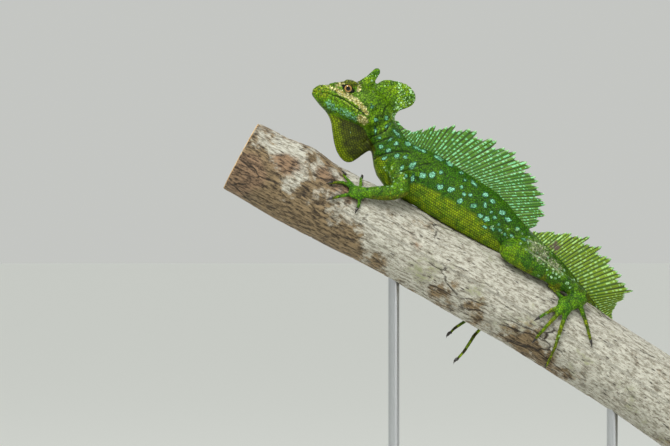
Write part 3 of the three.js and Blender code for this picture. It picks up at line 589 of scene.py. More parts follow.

# %% [markdown]
# ## Marks of the head
#
# A cream stripe runs under the eye and the jaw has a turquoise one. Over a pale lip the groove of the mouth
# is painted dark as shade, and so are the nostrils, and the lids' dark rim round each eye takes painted
# shadow too. These marks could be painted on an unwrapped picture. Lines in the head's own frame need no
# picture and keep both sides alike. The pouch and the sail on top are whole regions, so they are stored
# as shares from 0 to 1.

# %% Stripes and marks of the head
# All in the head's frame. Patches are x, z, half length, half width and turn.
CREAM_STRIPE = [
    (9, 9.4), (14.6, 8.4), (19.8, 8), (25.9, 7), (32, 6.2), (37.5, 4.8), (42.4, 2.6), (47.5, -0.6),
]
CREAM_PATCHES = [
    (46.4, -6.9, 4.9, 3.4, -10), (34.6, 15.4, 1.7, 3.2, 8), (19, 13.6, 3.4, 1.8, 40), (28, 8.6, 5, 1.6, -8),
]
JAW_STRIPE = [(16, -4.6), (22, -5.8), (33.6, -6.8), (41, -8)]
JAW_HALF = 2.9
LOWER_LIP = [(19, 2), (27, 1.4), (35, 0), (40, -1.8)]
LIP_HALF = 0.8
CROWN = (24, 18, 12, 4.5, 14)
SNOUT_PATCH = (6, 4, 9, 7, 0)
NOSTRIL_RADIUS = 0.9
LID_RIM_AND_SHADOW = 0.3  # mm of dark lid rim and painted shadow round the eye's opening
BACK_OF_JAW = 64
MOUTH_CORNER = 47.5

head_side = step_up(1.5, 4, np.abs(head_y)) * (head_x < BACK_OF_JAW)
cream_gap, cream_run, _ = line_distance(flat, CREAM_STRIPE)
cream = 0.8 + 1.5 * step_up(4, 12, cream_run) * step_up(46, 34, cream_run) - cream_gap
cream = np.maximum(cream, spots_field(flat, CREAM_PATCHES))
mouth_gap, mouth_run, _ = line_distance(flat, MOUTH)
# The groove of the mouth is painted dark as shade, wider towards the back.
mouth_groove_shade = 0.2 + 0.35 * step_up(14, 22, mouth_run) - mouth_gap
paint_where(head_side > 0.5, "cream", cream)
paint_where(head_side > 0.5, "jaw", JAW_HALF - line_distance(flat, JAW_STRIPE)[0])
paint_where((head_side > 0.3) & (head_x < MOUTH_CORNER), "mouth", mouth_groove_shade)
paint_where(head_side > 0.5, "lip", LIP_HALF - line_distance(flat, LOWER_LIP)[0])
# The nostril's pit is painted near-black as shade.
paint_where(np.abs(y) > 1, "nostril", NOSTRIL_RADIUS - away_from(flat, NOSTRIL))
# The lids' own dark rim, with painted shadow round the eye's opening.
outside_lids = almond(head_x - EYE[0], head_z - EYE[2])
paint_where((np.abs(y) > 6) & (head_x < 40), "lid", LID_RIM_AND_SHADOW - outside_lids)
paint(skin, "crown", spots_field(flat, [CROWN]))
paint(skin, "snout", spots_field(flat, [SNOUT_PATCH]))
print("points of the cream stripe:", int((cream > 0).sum()))

# %% Throat pouch and head sail
POUCH_BACK = [(46, -10), (58, -20), (64, -24)]
POUCH_RIM = [(17, -12), (23, -18), (28, -27), (34, -36), (40, -42), (47, -44)]
POUCH_RIM_WIDTH = 6.5

in_pouch = step_up(-10.2, -13.5, head_z) * step_up(-49, -46.5, head_z)
in_pouch *= step_up(68, 62, head_x) * (head_x > 8)
back_gap, _, back_side = line_distance(flat, POUCH_BACK)
in_pouch *= step_up(-1.5, 1.5, -back_gap * back_side)
rim_gap, rim_run, _ = line_distance(flat, POUCH_RIM)
paint(skin, "pouch", in_pouch)
paint(skin, "pouch_edge", POUCH_RIM_WIDTH - rim_gap)

on_head = step_up(80, 62, head_x) * step_up(-20, -8, head_z)
sail = step_up(20, 22.5, head_z - 0.12 * np.abs(head_x - 45)) * (head_x > 29)
sail = np.maximum(sail, step_up(64, 67, head_x) * (head_z > 2) * (np.abs(head_y) < 6))
sail *= head_x < 84
sail_rim = sail * step_up(0.85, 0.3, np.abs(normals[:, 1]))
marked = sail * np.maximum(0.4 * sail_rim + 0.55, step_up(56, 66, head_x))
paint(skin, "head", np.maximum(on_head, sail))
paint(skin, "sail", sail)
paint(skin, "marked", np.where(sail > 0.4, marked, 0))
print("points of pouch and head sail:", int((in_pouch > 0.5).sum()), int((sail > 0.5).sum()))

# %% [markdown]
# ## Rows, limbs and tail
#
# Belly scales lie in straight rows, which two distances can follow: one along the body and one round it.
# The limbs are part of the one skin, so nothing in it says where an arm begins. Their points could be
# picked by hand. Here a point belongs to a limb if it lies close to that limb's CAD node, and the hands
# and feet are found in the same way.

# %% Distances along the body and around it
# The pouch has rows too, which follow its rim.
TRUNK_LINE = [
    (-80, 455), (-71, 436), (-64.5, 421.5), (-55.5, 407.5), (-34, 394.5), (-12, 380.5), (10, 367),
    (31, 349), (47.5, 337.5), (63.5, 326), (81.5, 309), (98, 290), (112, 271.5), (129, 249.5),
    (146.5, 221.5), (162, 187.5), (173.5, 150), (177.5, 109), (168, 68.5), (143, 38.5), (106, 26),
    (70, 34),
]
GIRTH_RADIUS = 20  # mm, turns an angle round the body into a distance

off_line, run, line_side = line_distance(side_view, TRUNK_LINE)
girth = np.arctan2(off_line * line_side, np.maximum(np.abs(y), 0.1)) * GIRTH_RADIUS
on_pouch = in_pouch > 0.4
paint(skin, "run", np.where(on_pouch, rim_run, run))
paint(skin, "girth", np.where(on_pouch, rim_gap, girth))
print("mm along the body:", round(float(run.max())))

# %% Limbs
LIMB_REACH = 4.0  # mm from a limb's CAD node to the end of its colour


def near_node(name, reach):
    """1 on a limb's points and 0 further than reach mm from its CAD node's points."""
    node_points = frame["nodes"][name].data.vertices
    tree = kdtree.KDTree(len(node_points))
    for i, v in enumerate(node_points):
        tree.insert(v.co, i)
    tree.balance()
    low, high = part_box(name)
    low, high = np.array(low) / MM - reach, np.array(high) / MM + reach
    close = ((points > low) & (points < high)).all(axis=1)
    found = np.zeros(len(points))
    for i in np.nonzero(close)[0]:
        found[i] = 1 - min(1, tree.find(points[i] * MM)[2] / MM / reach)
    return found


limbs, ends = np.zeros(len(points)), np.zeros(len(points))
for node in SKIN_NODES:
    if node.startswith(("left_", "right_")):
        nearness = step_up(0.1, 0.6, near_node(node, LIMB_REACH))
        limbs = np.maximum(limbs, nearness)
        if node.endswith(("hand", "foot")):
            ends = np.maximum(ends, nearness)
paint(skin, "limb", limbs)
paint(skin, "underside", limbs * step_up(0.0, -0.7, normals[:, 2]))
paint(skin, "rows", np.maximum(step_up(-2, 2, below_edge), in_pouch) * (1 - limbs))
print("points on limbs, and on hands and feet:", int((limbs > 0.5).sum()), int((ends > 0.5).sum()))

# %% Palms, toes and knee
# The middle of each hand or foot as x, z and radius. The rest of it is toes.
PALMS = [(-92.5, 384.6, 15), (-75, 357, 12), (81, 294, 14), (47, 282, 13)]
KNEE = (36, 333)

palm_nearness = np.max([1 - away_from(side_view, palm[:2], palm[2], palm[2]) for palm in PALMS], axis=0)
paint(skin, "palm", limbs * step_up(-0.15, 0.45, palm_nearness))
paint(skin, "toe", ends * step_up(0.15, -0.35, palm_nearness))
paint(skin, "knee", limbs * step_up(-0.6, 0.6, 1 - away_from(side_view, KNEE, 17, 9)))
# The far foot's two long toes hang free below the branch and are painted dark there as shade under it.
paint(skin, "toe_shade_under_branch", ends * (y > 0) * step_up(14, 2, x) * step_up(286, 278, z))
print("points on toes:", int((ends * (palm_nearness < 0) > 0.5).sum()))

# %% Tail, worn thigh and pale dots
TAIL_BAND = 30  # mm from one dark band to the next
# Places in mm along the body.
TAIL_ROOT = 180
TAIL_FREE = 250  # beyond this every point is tail
BANDS_START = 270
DOTS_END = 330
WORN = [(56, 336, 12, 7.5, -48), (68, 325, 10, 5, -42)]

tail_share = step_up(60, 112, x) * (run > TAIL_ROOT)
paint(skin, "tail", np.where(run > TAIL_FREE, 1, tail_share) * (1 - limbs))
paint(skin, "tail_band", np.sin(run / TAIL_BAND * 2 * math.pi) * (run > BANDS_START))
paint_where(z > 312, "worn", spots_field(side_view, WORN))
# Dots stand on the upper sides of the arms and the far leg, and round the root of the tail.
dotted = 0.9 * limbs * (1 - ends) * step_up(-0.4, 0.3, normals[:, 2]) * ((x < 0) | (y > 0))
dotted_tail = 0.8 * step_up(45, 60, x) * (1 - limbs) * (run < DOTS_END)
paint(skin, "dotted", np.maximum(dotted, dotted_tail))
print("skin triangles:", triangles_of(skin))

# %% [markdown]
# ## Materials: one function adds a node
#
# Each material below is a small graph of nodes. One function adds a node, sets its settings and links or
# fills its inputs, so that each line of a material reads as one step of it.

# %% Colours and nodes


def linear(hex_colour):
    """An sRGB hex colour as linear RGBA."""
    channels = [int(hex_colour[i : i + 2], 16) / 255 for i in (1, 3, 5)]
    return [c / 12.92 if c <= 0.04045 else ((c + 0.055) / 1.055) ** 2.4 for c in channels] + [1.0]


def add_node(tree, kind, settings=(), **inputs):
    """Adds a node. Settings are its own properties, and inputs are sockets, each with a value or a link.

    A socket goes by its name, with _ for a space, or by its number: i2 is the one with index 2.
    """
    node = tree.nodes.new(kind)
    for name, value in dict(settings).items():
        setattr(node, name, value)
    for name, value in inputs.items():
        by_number = name[0] == "i" and name[1:].isdigit()
        socket = node.inputs[int(name[1:]) if by_number else name.replace("_", " ")]
        if isinstance(value, bpy.types.NodeSocket):
            tree.links.new(value, socket)
        else:
            is_colour = isinstance(value, str) and value.startswith("#")
            socket.default_value = linear(value) if is_colour else value
    return node


def new_material(name):
    """An empty material. Returns the material and its tree."""
    material = bpy.data.materials.new(name)
    material.use_nodes = True
    material.node_tree.nodes.clear()
    return material, material.node_tree


def finish_material(tree, shader):
    output = tree.nodes.new("ShaderNodeOutputMaterial")
    tree.links.new(shader.outputs[0], output.inputs["Surface"])


def dress(piece, material):
    """Gives a piece one material and smooth shading."""
    piece.data.materials.clear()
    piece.data.materials.append(material)
    only(piece)
    bpy.ops.object.shade_smooth()


# %% Sums and textures


def maths(tree, operation, *values):
    """The result of a Math node."""
    inputs = {f"i{i}": value for i, value in enumerate(values)}
    return add_node(tree, "ShaderNodeMath", {"operation": operation}, **inputs).outputs[0]


def product(tree, *values):
    total = values[0]
    for value in values[1:]:
        total = maths(tree, "MULTIPLY", total, value)
    return total


def object_place(tree):
    """The point's place in metres, in the object's own coordinates."""
    return add_node(tree, "ShaderNodeTexCoord").outputs["Object"]


def noise_at(tree, place, scale, detail, rough=0.5, **inputs):
    """A soft random value about 0.5 for each place."""
    node = add_node(
        tree, "ShaderNodeTexNoise", Vector=place, Scale=scale, Detail=detail, Roughness=rough, **inputs
    )
    return node.outputs["Fac"]


def cells_at(tree, place, scale, feature="F1"):
    """A Voronoi texture: cells like scales. Its outputs are Distance and a Color for each cell."""
    return add_node(tree, "ShaderNodeTexVoronoi", {"feature": feature}, Vector=place, Scale=scale).outputs


# %% Masks, mixes and the last nodes


def number_field(tree, name):
    """A number that was painted on the points."""
    return add_node(tree, "ShaderNodeAttribute", {"attribute_name": name}).outputs["Fac"]


def ramp(tree, value, low, high):
    """0 where the value is low and 1 where it is high, with a smooth step between. Low may be the larger."""
    edge = add_node(tree, "ShaderNodeMapRange", {"interpolation_type": "SMOOTHSTEP"}, Value=value)
    edge.inputs["From Min"].default_value = low
    edge.inputs["From Max"].default_value = high
    return edge.outputs["Result"]


def field(tree, name, low, high, texture=None, rough=0.0):
    """A stored distance as a 0 to 1 mask. A texture moves its edge by up to rough either way."""
    value = number_field(tree, name)
    if texture is not None:
        value = maths(tree, "ADD", value, maths(tree, "MULTIPLY_ADD", texture, 2 * rough, -rough))
    return ramp(tree, value, low, high)


def mixed(tree, share, below, above, blend="MIX"):
    """below where share is 0 and above where it is 1."""
    settings = {"data_type": "RGBA", "blend_type": blend}
    return add_node(tree, "ShaderNodeMix", settings, i0=share, i6=below, i7=above).outputs[2]


def mixed_number(tree, share, below, above):
    return add_node(tree, "ShaderNodeMix", {"data_type": "FLOAT"}, i0=share, i2=below, i3=above).outputs[0]


def finish_surface(tree, height, strength, depth, **inputs):
    """Ends a material in a Principled shader with relief from a height. The depth is in mm."""
    relief = add_node(tree, "ShaderNodeBump", Strength=strength, Distance=depth * MM, Height=height)
    shader = add_node(tree, "ShaderNodeBsdfPrincipled", Normal=relief.outputs["Normal"], **inputs)
    finish_material(tree, shader)


# %% [markdown]
# ## Lizard skin
#
# Keratin scales over soft skin: satin, not wet, with an index of refraction of about 1.5. Body scales are
# about a millimetre across. Single modelled scales would need millions of faces, so they are Voronoi
# cells in a bump, drawn somewhat coarser so that they show. On belly and pouch they lie in neat rows, so
# there a brick pattern follows the body. The belly is yellow-green, the back deep green, and the spots
# are pale turquoise with a darker rim. A little noise is added to each stored distance, so that no edge
# is a clean curve.

# %% Textures of the skin
SCALE_SIZE = 1.7  # mm
HEAD_SCALE_SIZE = 2.3
BELLY_ROW = 1.9  # mm between rows of belly scales
DOT_SPACING = 4.6  # mm between the cells that may hold a small pale dot


def skin_textures(tree):
    """The textures and patterns that all parts of the skin share."""
    place = object_place(tree)
    soft = noise_at(tree, place, 150.0, 4.0, 0.65)
    fine = noise_at(tree, place, 480.0, 3.0, 0.6)
    return SimpleNamespace(
        place=place,
        broad=noise_at(tree, place, 45.0, 3.0, 0.6),
        soft=soft,
        fine=fine,
        contrast=ramp(tree, soft, 0.35, 0.65),
        speckle=ramp(tree, fine, 0.4, 0.62),
        mottle=ramp(tree, fine, 0.4, 0.6),
        head=field(tree, "head", 0.15, 0.85, soft, 0.6),
    )


# %% Layers of colour


def shown(tree, t, look):
    """A colour as it is, or a pattern's name with two colours as the pattern between them."""
    if not isinstance(look, tuple):
        return look
    pattern, dark, light = look
    return mixed(tree, getattr(t, pattern), dark, light)


def layered(tree, t, base, *layers):
    """Lays colours over a base, one after another.

    A layer is a field with its low and high, the texture that roughens its edge and by how much, and a look.
    """
    colour = shown(tree, t, base)
    for name, low, high, texture, rough, look in layers:
        mask = field(tree, name, low, high, getattr(t, texture) if texture else None, rough)
        colour = mixed(tree, mask, colour, shown(tree, t, look))
    return colour


# %% Colours of trunk, limbs and tail


def body_colour(tree, t):
    """Deep green, yellower towards the belly. Limbs run from dark green to a bright green hand."""
    back = mixed(tree, t.contrast, "#457216", "#66982a")
    back = mixed(tree, ramp(tree, t.broad, 0.4, 0.62), back, "#507c38")
    limb = layered(
        tree, t, ("contrast", "#487618", "#7cac38"),
        ("underside", 0.2, 0.9, "soft", 0.4, "#77840f"),
    )
    tail = layered(
        tree, t, ("contrast", "#46701c", "#82a040"),
        ("tail_band", -0.35, 0.5, "soft", 0.5, "#5a4c26"),
    )
    return layered(
        tree, t, back,
        ("belly", -2.0, 2.0, "soft", 2.5, ("contrast", "#6c9608", "#a6c012")),
        ("limb", 0.2, 0.8, None, 0, limb),
        ("knee", 0.1, 1.0, "soft", 0.8, ("contrast", "#5c9410", "#8cb41c")),
        ("palm", 0.1, 0.9, None, 0, ("contrast", "#4c8426", "#86b83c")),
        ("toe", 0.1, 0.9, None, 0, ("speckle", "#6f7f28", "#a8b458")),
        # Painted shade on the far foot's toes below the branch.
        ("toe_shade_under_branch", 0.0, 1.2, None, 0, "#453f1c"),
        ("tail", 0.0, 1.0, None, 0, tail),
        ("worn", -1.5, 4.0, "fine", 4.0, ("speckle", "#7f9a58", "#dce2c0")),
    )


# %% Colours of the head


def head_colour(tree, t, colour):
    """Bright cheek, dark crown, mottled sail, olive pouch, turquoise jaw and a cream stripe."""
    cheek = layered(
        tree, t, ("contrast", "#527f0a", "#80b01a"),
        ("crown", -1.0, 1.5, "soft", 2.0, ("mottle", "#4a5a12", "#8c9440")),
        ("snout", -1.0, 2.5, "soft", 3.0, ("mottle", "#5c8c20", "#b4c460")),
    )
    pouch = layered(
        tree, t, ("contrast", "#434a06", "#66730c"),
        ("pouch_edge", -4.0, 4.0, "soft", 4.0, "#93ac14"),
    )
    jaw = mixed(tree, ramp(tree, t.fine, 0.38, 0.6), "#5c9448", "#a8dcb8")
    cream = mixed(tree, ramp(tree, t.fine, 0.36, 0.6), "#aea25a", "#f4f2bc")
    return layered(
        tree, t, mixed(tree, t.head, colour, cheek),
        ("sail", 0.1, 0.9, None, 0, ("contrast", "#4c840c", "#98c038")),
        ("pouch", 0.2, 0.8, None, 0, pouch),
        ("jaw", -1.2, 3.0, "fine", 5.0, jaw),
        ("lip", -0.3, 0.4, "fine", 2.4, ("speckle", "#6f9c3c", "#b4c870")),
        ("cream", -0.5, 0.6, "fine", 2.6, cream),
        # Painted shade in the groove of the mouth.
        ("mouth", 0.0, 0.35, None, 0, "#1c2a0c"),
        # Painted shade in the nostrils.
        ("nostril", 0.0, 0.5, None, 0, "#141a08"),
        # The lids' dark rim: partly their own colour and partly painted shadow round the eye.
        ("lid", 0.0, 0.3, None, 0, "#17130a"),
    )


# %% Shades, dots and spots


def marked_colour(tree, t, colour):
    """Gives each scale its own shade, then lays on dots, the sail's marks and spots.

    Last it paints dark shade in the creases.
    """
    cells = cells_at(tree, t.place, 1 / (SCALE_SIZE * MM))
    shade = add_node(tree, "ShaderNodeMapRange", Value=cells["Color"])
    shade.inputs["To Min"].default_value = 0.38
    shade.inputs["To Max"].default_value = 0.9
    value = shade.outputs["Result"]
    shaded = add_node(tree, "ShaderNodeHueSaturation", Color=colour, Value=value, Saturation=1.25)
    # Small pale dots are the middles of some cells of a wide Voronoi.
    wide = cells_at(tree, t.place, 1 / (DOT_SPACING * MM))
    middle = ramp(tree, wide["Distance"], 0.3, 0.2)
    chosen = ramp(tree, wide["Color"], 0.42, 0.46)
    dot = product(tree, middle, chosen, field(tree, "dotted", 0.2, 0.8))
    colour = mixed(tree, dot, shaded.outputs["Color"], "#a4cf9a")
    # The head's sail has closer, broken pale marks, which crowd towards its back and along its rim.
    crowded = maths(tree, "MULTIPLY_ADD", number_field(tree, "marked"), 0.22, -0.22)
    marks = maths(tree, "ADD", noise_at(tree, t.place, 520.0, 2.0, Distortion=0.9), crowded)
    colour = mixed(tree, ramp(tree, marks, 0.54, 0.6), colour, "#a8d494")
    # A spot is dark at its rim and pale inside.
    return layered(
        tree, t, colour,
        ("spot", -0.8, -0.1, "fine", 2.0, "#265632"),
        ("spot", -0.1, 0.5, "fine", 1.6, ("contrast", "#6fb78a", "#93dcb8")),
        ("small_spot", -0.1, 0.25, "fine", 0.5, "#96c48c"),
        # Painted shade: the creases are laid on near-black.
        ("painted_crease_shade", 0.3, 1.1, None, 0, "#101c08"),
    )


# %% Relief of the scales, and the whole skin


def scale_height(tree, t):
    """Height on a scale: small cells on the body, plates on the head, rows on belly and pouch."""
    rows = add_node(tree, "ShaderNodeCombineXYZ", X=number_field(tree, "run"), Y=number_field(tree, "girth"))
    bricks = add_node(
        tree, "ShaderNodeTexBrick", Vector=rows.outputs[0], Scale=1.0, Color1=(1, 1, 1, 1),
        Color2=(0.75, 0.75, 0.75, 1), Mortar=(0, 0, 0, 1), Mortar_Size=0.5, Mortar_Smooth=1.0,
        Brick_Width=BELLY_ROW, Row_Height=BELLY_ROW,
    )
    cells = cells_at(tree, t.place, 1 / (SCALE_SIZE * MM), "DISTANCE_TO_EDGE")
    plates = cells_at(tree, t.place, 1 / (HEAD_SCALE_SIZE * MM), "DISTANCE_TO_EDGE")
    cell_height = ramp(tree, cells["Distance"], 0.0, 0.2)
    plate_height = ramp(tree, plates["Distance"], 0.0, 0.16)
    height = mixed_number(tree, t.head, cell_height, plate_height)
    return mixed_number(tree, number_field(tree, "rows"), height, bricks.outputs["Color"])


def skin_material():
    """Dry keratin: satin at roughness 0.5, with an index of refraction of 1.5 and little mirror light."""
    material, tree = new_material("scaly_lizard_skin")
    textures = skin_textures(tree)
    colour = body_colour(tree, textures)
    colour = head_colour(tree, textures, colour)
    colour = marked_colour(tree, textures, colour)
    # The gaps between scales are darker.
    height = scale_height(tree, textures)
    tone = mixed(tree, height, "#5a6450", "#ffffff")
    colour = mixed(tree, 0.85, colour, tone, "MULTIPLY")
    finish_surface(
        tree, height, 0.6, 0.35, Base_Color=colour, Roughness=0.5, IOR=1.5, Specular_IOR_Level=0.18
    )
    return material


dress(skin, skin_material())
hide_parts(*SKIN_NODES)
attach(skin, "root")
print("nodes in the skin's material:", len(skin.data.materials[0].node_tree.nodes))

# %% [markdown]
# ## Eyes
#
# A basilisk's eye is a glossy ball with a pale orange iris, a thin dark rim and a round black pupil. It
# could be a picture on a ball. Here the sphere's poles look out sideways, its rings give the distance
# from the middle of the pupil, and the material draws the rings of colour from that distance under a
# clear coat.

# %% Eyeballs
PUPIL_RADIUS = 1.65
IRIS_RADIUS = 3.1


def eyeball(side, name):
    bpy.ops.mesh.primitive_uv_sphere_add(
        segments=48, ring_count=40, radius=EYE_RADIUS * MM, location=Vector(eye_centre(side)) * MM,
        rotation=(math.pi / 2, 0, 0),
    )
    eye = fresh_piece()
    eye.name = eye.data.name = name
    d = points_of(eye) - eye_centre(side)
    from_axis = np.where(d[:, 1] * side > 0, np.hypot(d[:, 0], d[:, 2]), EYE_RADIUS)
    # The clear cornea stands a little proud of the ball.
    proud = 0.3 * (1 - step_up(1.5, 3.4, from_axis))
    move_points(eye, eye_centre(side) + d * (1 + proud / EYE_RADIUS)[:, None])
    paint(eye, "from_axis", from_axis)
    return eye


# %% Wet eye material


def eye_material():
    """A cornea wet with tears: almost mirror smooth, with an index of 1.36 under a thin clear coat."""
    material, tree = new_material("wet_eye_with_orange_iris")
    flecks = noise_at(tree, object_place(tree), 2200.0, 3.0)
    iris = mixed(tree, flecks, "#7a5820", "#b88e48")
    scaled = add_node(tree, "ShaderNodeMapRange", Value=number_field(tree, "from_axis"))
    scaled.inputs["From Max"].default_value = EYE_RADIUS
    rings = add_node(tree, "ShaderNodeValToRGB", Fac=scaled.outputs["Result"])
    stops = rings.color_ramp.elements
    stops[0].color = (0, 0, 0, 1)
    stops[1].color = (0, 0, 0, 1)
    # The iris fades in beside the pupil and out towards the thin dark rim.
    inner, outer = PUPIL_RADIUS + 0.2, IRIS_RADIUS - 0.35
    for radius, value in ((PUPIL_RADIUS, 0), (inner, 1), (outer, 1), (IRIS_RADIUS, 0)):
        stops.new(radius / EYE_RADIUS).color = (value, value, value, 1)
    colour = mixed(tree, rings.outputs["Color"], "#0c0906", iris)
    shader = add_node(
        tree, "ShaderNodeBsdfPrincipled", Base_Color=colour, Roughness=0.06, IOR=1.36, Coat_Weight=0.25,
        Coat_Roughness=0.03,
    )
    finish_material(tree, shader)
    return material


wet_eye = eye_material()
for side, name in ((-1, "left_eye"), (1, "right_eye")):
    eye = eyeball(side, name + "_ball")
    dress(eye, wet_eye)
    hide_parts(name)
    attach(eye, "root")
    print(eye.name, "triangles:", triangles_of(eye))

# %% [markdown]
# ## Claws
#
# Every digit ends in a dark, curved claw of horn. A claw could be extruded from the toe, but its horn is
# smoother and blacker than the skin, so it is its own piece: a cone for each of the twenty tips, bent
# into a hook. A ray cast from the side finds where each toe lies on the bark.

# %% Tips of the digits
CLAW_LIFT = 1.65  # mm from the bark to the middle of a toe's tip
# Each digit's last two places, as x, z on the branch or x, y, z in the air.
TOE_TIPS = {
    -1: [
        ((-89, 390.5), (-89, 395)), ((-97, 391.6), (-102.4, 397.2)), ((-106, 392.6), (-112.6, 391.6)),
        ((-105, 381.4), (-112, 379.4)), ((-90, 376.4), (-92.2, 371)), ((68.6, 304.4), (65.4, 306.4)),
        ((61.4, 287.4), (54.4, 283)), ((61, 276.6), (52.4, 266.6)), ((67.4, 259), (62.2, 245.8)),
        ((93.6, 275.6), (96, 264.4)),
    ],
    1: [
        ((-76, 363), (-77, 368)), ((-83, 362), (-88, 368)), ((-92, 361), (-98, 362.6)),
        ((-94, 351.4), (-101, 351)), ((-76, 345.6), (-79.4, 340)), ((32, 295), (29, 300)),
        ((24.4, 286), (15.6, 287.4)), ((-6, 21, 278.4), (-15.4, 18, 269.4)),
        ((-3.4, 11, 255.6), (-10, 8, 248.4)), ((47, 268), (41, 260.4)),
    ],
}


def on_bark(place, side):
    """The middle of a toe over the bark, in mm, and the way out of the bark there."""
    wood = frame["nodes"]["branch"]
    if len(place) == 3:
        return Vector(place), Vector((0, 0, 1))
    start = Vector((place[0], side * 100, place[1])) * MM
    hit, spot, normal, _ = wood.ray_cast(start, Vector((0, -side, 0)))
    if not hit:
        raise ValueError(f"no bark behind the toe at {place}")
    return spot / MM + normal * CLAW_LIFT, normal


# %% Claws
CLAW_SIDES = 12
CLAW_CUTS = 5
CLAW_LENGTH = 6.2
CLAW_ROOT = 1.45  # mm, half its height at the root
CLAW_FLAT = 0.85  # its width as a share of its height
CLAW_ARCH = 2.6
CLAW_HOOK = 0.9  # mm that the point comes down again
CLAW_SUNK = 0.6  # mm of the root inside the toe


def claw(number, before, tip, side):
    """One hooked cone, from a digit's last two places."""
    bpy.ops.mesh.primitive_cone_add(vertices=CLAW_SIDES, radius1=1, radius2=0, depth=1, location=(0, 0, 0.5))
    cone = fresh_piece()
    in_edit_mode(cone, lambda: bpy.ops.mesh.subdivide(number_cuts=CLAW_CUTS))
    shape = points_of(cone) * MM
    end, out = on_bark(tip, side)
    back, _ = on_bark(before, side)
    ahead = (end - back).normalized()
    out = (out - ahead * out.dot(ahead)).normalized()
    across = ahead.cross(out)
    up = shape[:, 2]
    # Fuller than a cone near its root, and hooked down at its point.
    shape[:, :2] *= ((1 - up**1.6) / np.maximum(1 - up, 1e-6))[:, None]
    rise = CLAW_ARCH * up * (1 - up) - CLAW_HOOK * up**6
    spots = np.array(end) + np.outer(shape[:, 0] * CLAW_ROOT * CLAW_FLAT, across)
    spots += np.outer(shape[:, 1] * CLAW_ROOT + rise, out)
    spots += np.outer(up * CLAW_LENGTH - CLAW_SUNK, ahead)
    move_points(cone, spots)
    cone.name = f"claw_{number}"
    return cone


claws = [claw(i, *tips, side) for side in TOE_TIPS for i, tips in enumerate(TOE_TIPS[side])]
# Horn: nearly black, polished by use, with faint streaks.
horn, tree = new_material("dark_claw_horn")
streaks = noise_at(tree, object_place(tree), 700.0, 3.0)
shade = mixed(tree, streaks, "#070504", "#2a2118")
finish_material(tree, add_node(tree, "ShaderNodeBsdfPrincipled", Base_Color=shade, Roughness=0.3, IOR=1.54))
all_claws = joined("claws", claws)
in_edit_mode(all_claws, lambda: bpy.ops.mesh.normals_make_consistent(inside=False))
dress(all_claws, horn)
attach(all_claws, "root")
print("claws:", len(claws), "triangles:", triangles_of(all_claws))

# %% [markdown]
# ## The rayed sails of back and tail
#
# Thin skin is stretched over stiff rays that lean backwards, and each ray ends in a point beyond the web.
# Every few rays the edge steps in, which gives the sail its torn, saw-toothed look. A sail could be cut
# from a sheet and pleated. Here a fine grid is laid between the line of the back and the outer edge, a
# Solidify modifier thickens it by a weight that is high on the rays and low on the web, and the last rows
# of points are pulled in between the rays.

# %% Lines of the sails
BACK_SAIL = {
    "base": [
        (-64, 0, 444), (-57, 0, 430), (-50.5, 0, 423.2), (-44, 0, 417.4), (-37.5, 0, 413.2),
        (-30.5, 0, 410.2), (-22, 0, 406.8), (-13, 0, 402), (-5, 0, 397), (3, 0, 392), (10, 0, 387.5),
        (17, 0, 381.5), (23.5, 0, 373.5), (29, 0, 365.5), (35, 0, 357), (41, 0.5, 350.5),
    ],
    "edge": [
        (-58, 0, 442), (-50, 0, 435.4), (-40.8, 0, 435.8), (-32.1, 0, 439), (-19.6, 0, 440.3),
        (-3.4, 0, 439), (12.8, 0, 432.4), (29, 0, 424.7), (42.8, 0, 416.4), (52, 0, 405), (58, 0, 394.6),
        (61.6, 0, 384), (63.6, 0, 376), (62.4, 0, 368.4), (58.4, 0, 360.6), (47.5, 0.5, 352.5),
    ],
    "rays": 54,
}
TAIL_SAIL = {
    "base": [
        (47, 1, 346), (52, 2, 339.5), (58.5, 3, 333), (65, 5, 326.6), (72, 9, 319.6), (79, 12.6, 312),
        (86, 16.4, 304.4), (93, 20.4, 296.8), (100, 24.6, 288.6), (106.5, 28.6, 281), (113, 32.4, 272.5),
    ],
    "edge": [
        (52, 1, 353.2), (69, 3.4, 353.4), (84, 6.4, 352.2), (97.5, 9.8, 348.8), (108.7, 14, 340),
        (118, 18, 331), (127, 22, 317.6), (135.5, 27, 304), (128.4, 29.5, 297), (121.4, 32, 290),
        (118.6, 33.5, 279.5),
    ],
    "rays": 40,
}
print("rays of back and tail:", BACK_SAIL["rays"], TAIL_SAIL["rays"])

# %% Build a sail
POINTS_PER_RAY = 7
SAIL_ROWS = 48
RAYS_PER_TOOTH = 4
SAIL_STAINS = [(70, 340, 6, 7, 60), (67, 334, 6, 4, 40)]  # brown blots low on the tail's sail
TOOTH = 0.17  # share of the sail's height that is lost before the next tooth starts
NOTCH = 0.05  # share of the height between a ray's tip and the web beside it
RAY_HALF = 0.62  # mm, half a ray's thickness at its root
WEB_HALF = 0.26
FOOT_HALF = 1.1  # mm added at the sail's foot, where it grows out of the back
PLEAT = 0.3  # mm that the web swings to either side between rays
WAVE = 1.1  # mm that the free edge waves


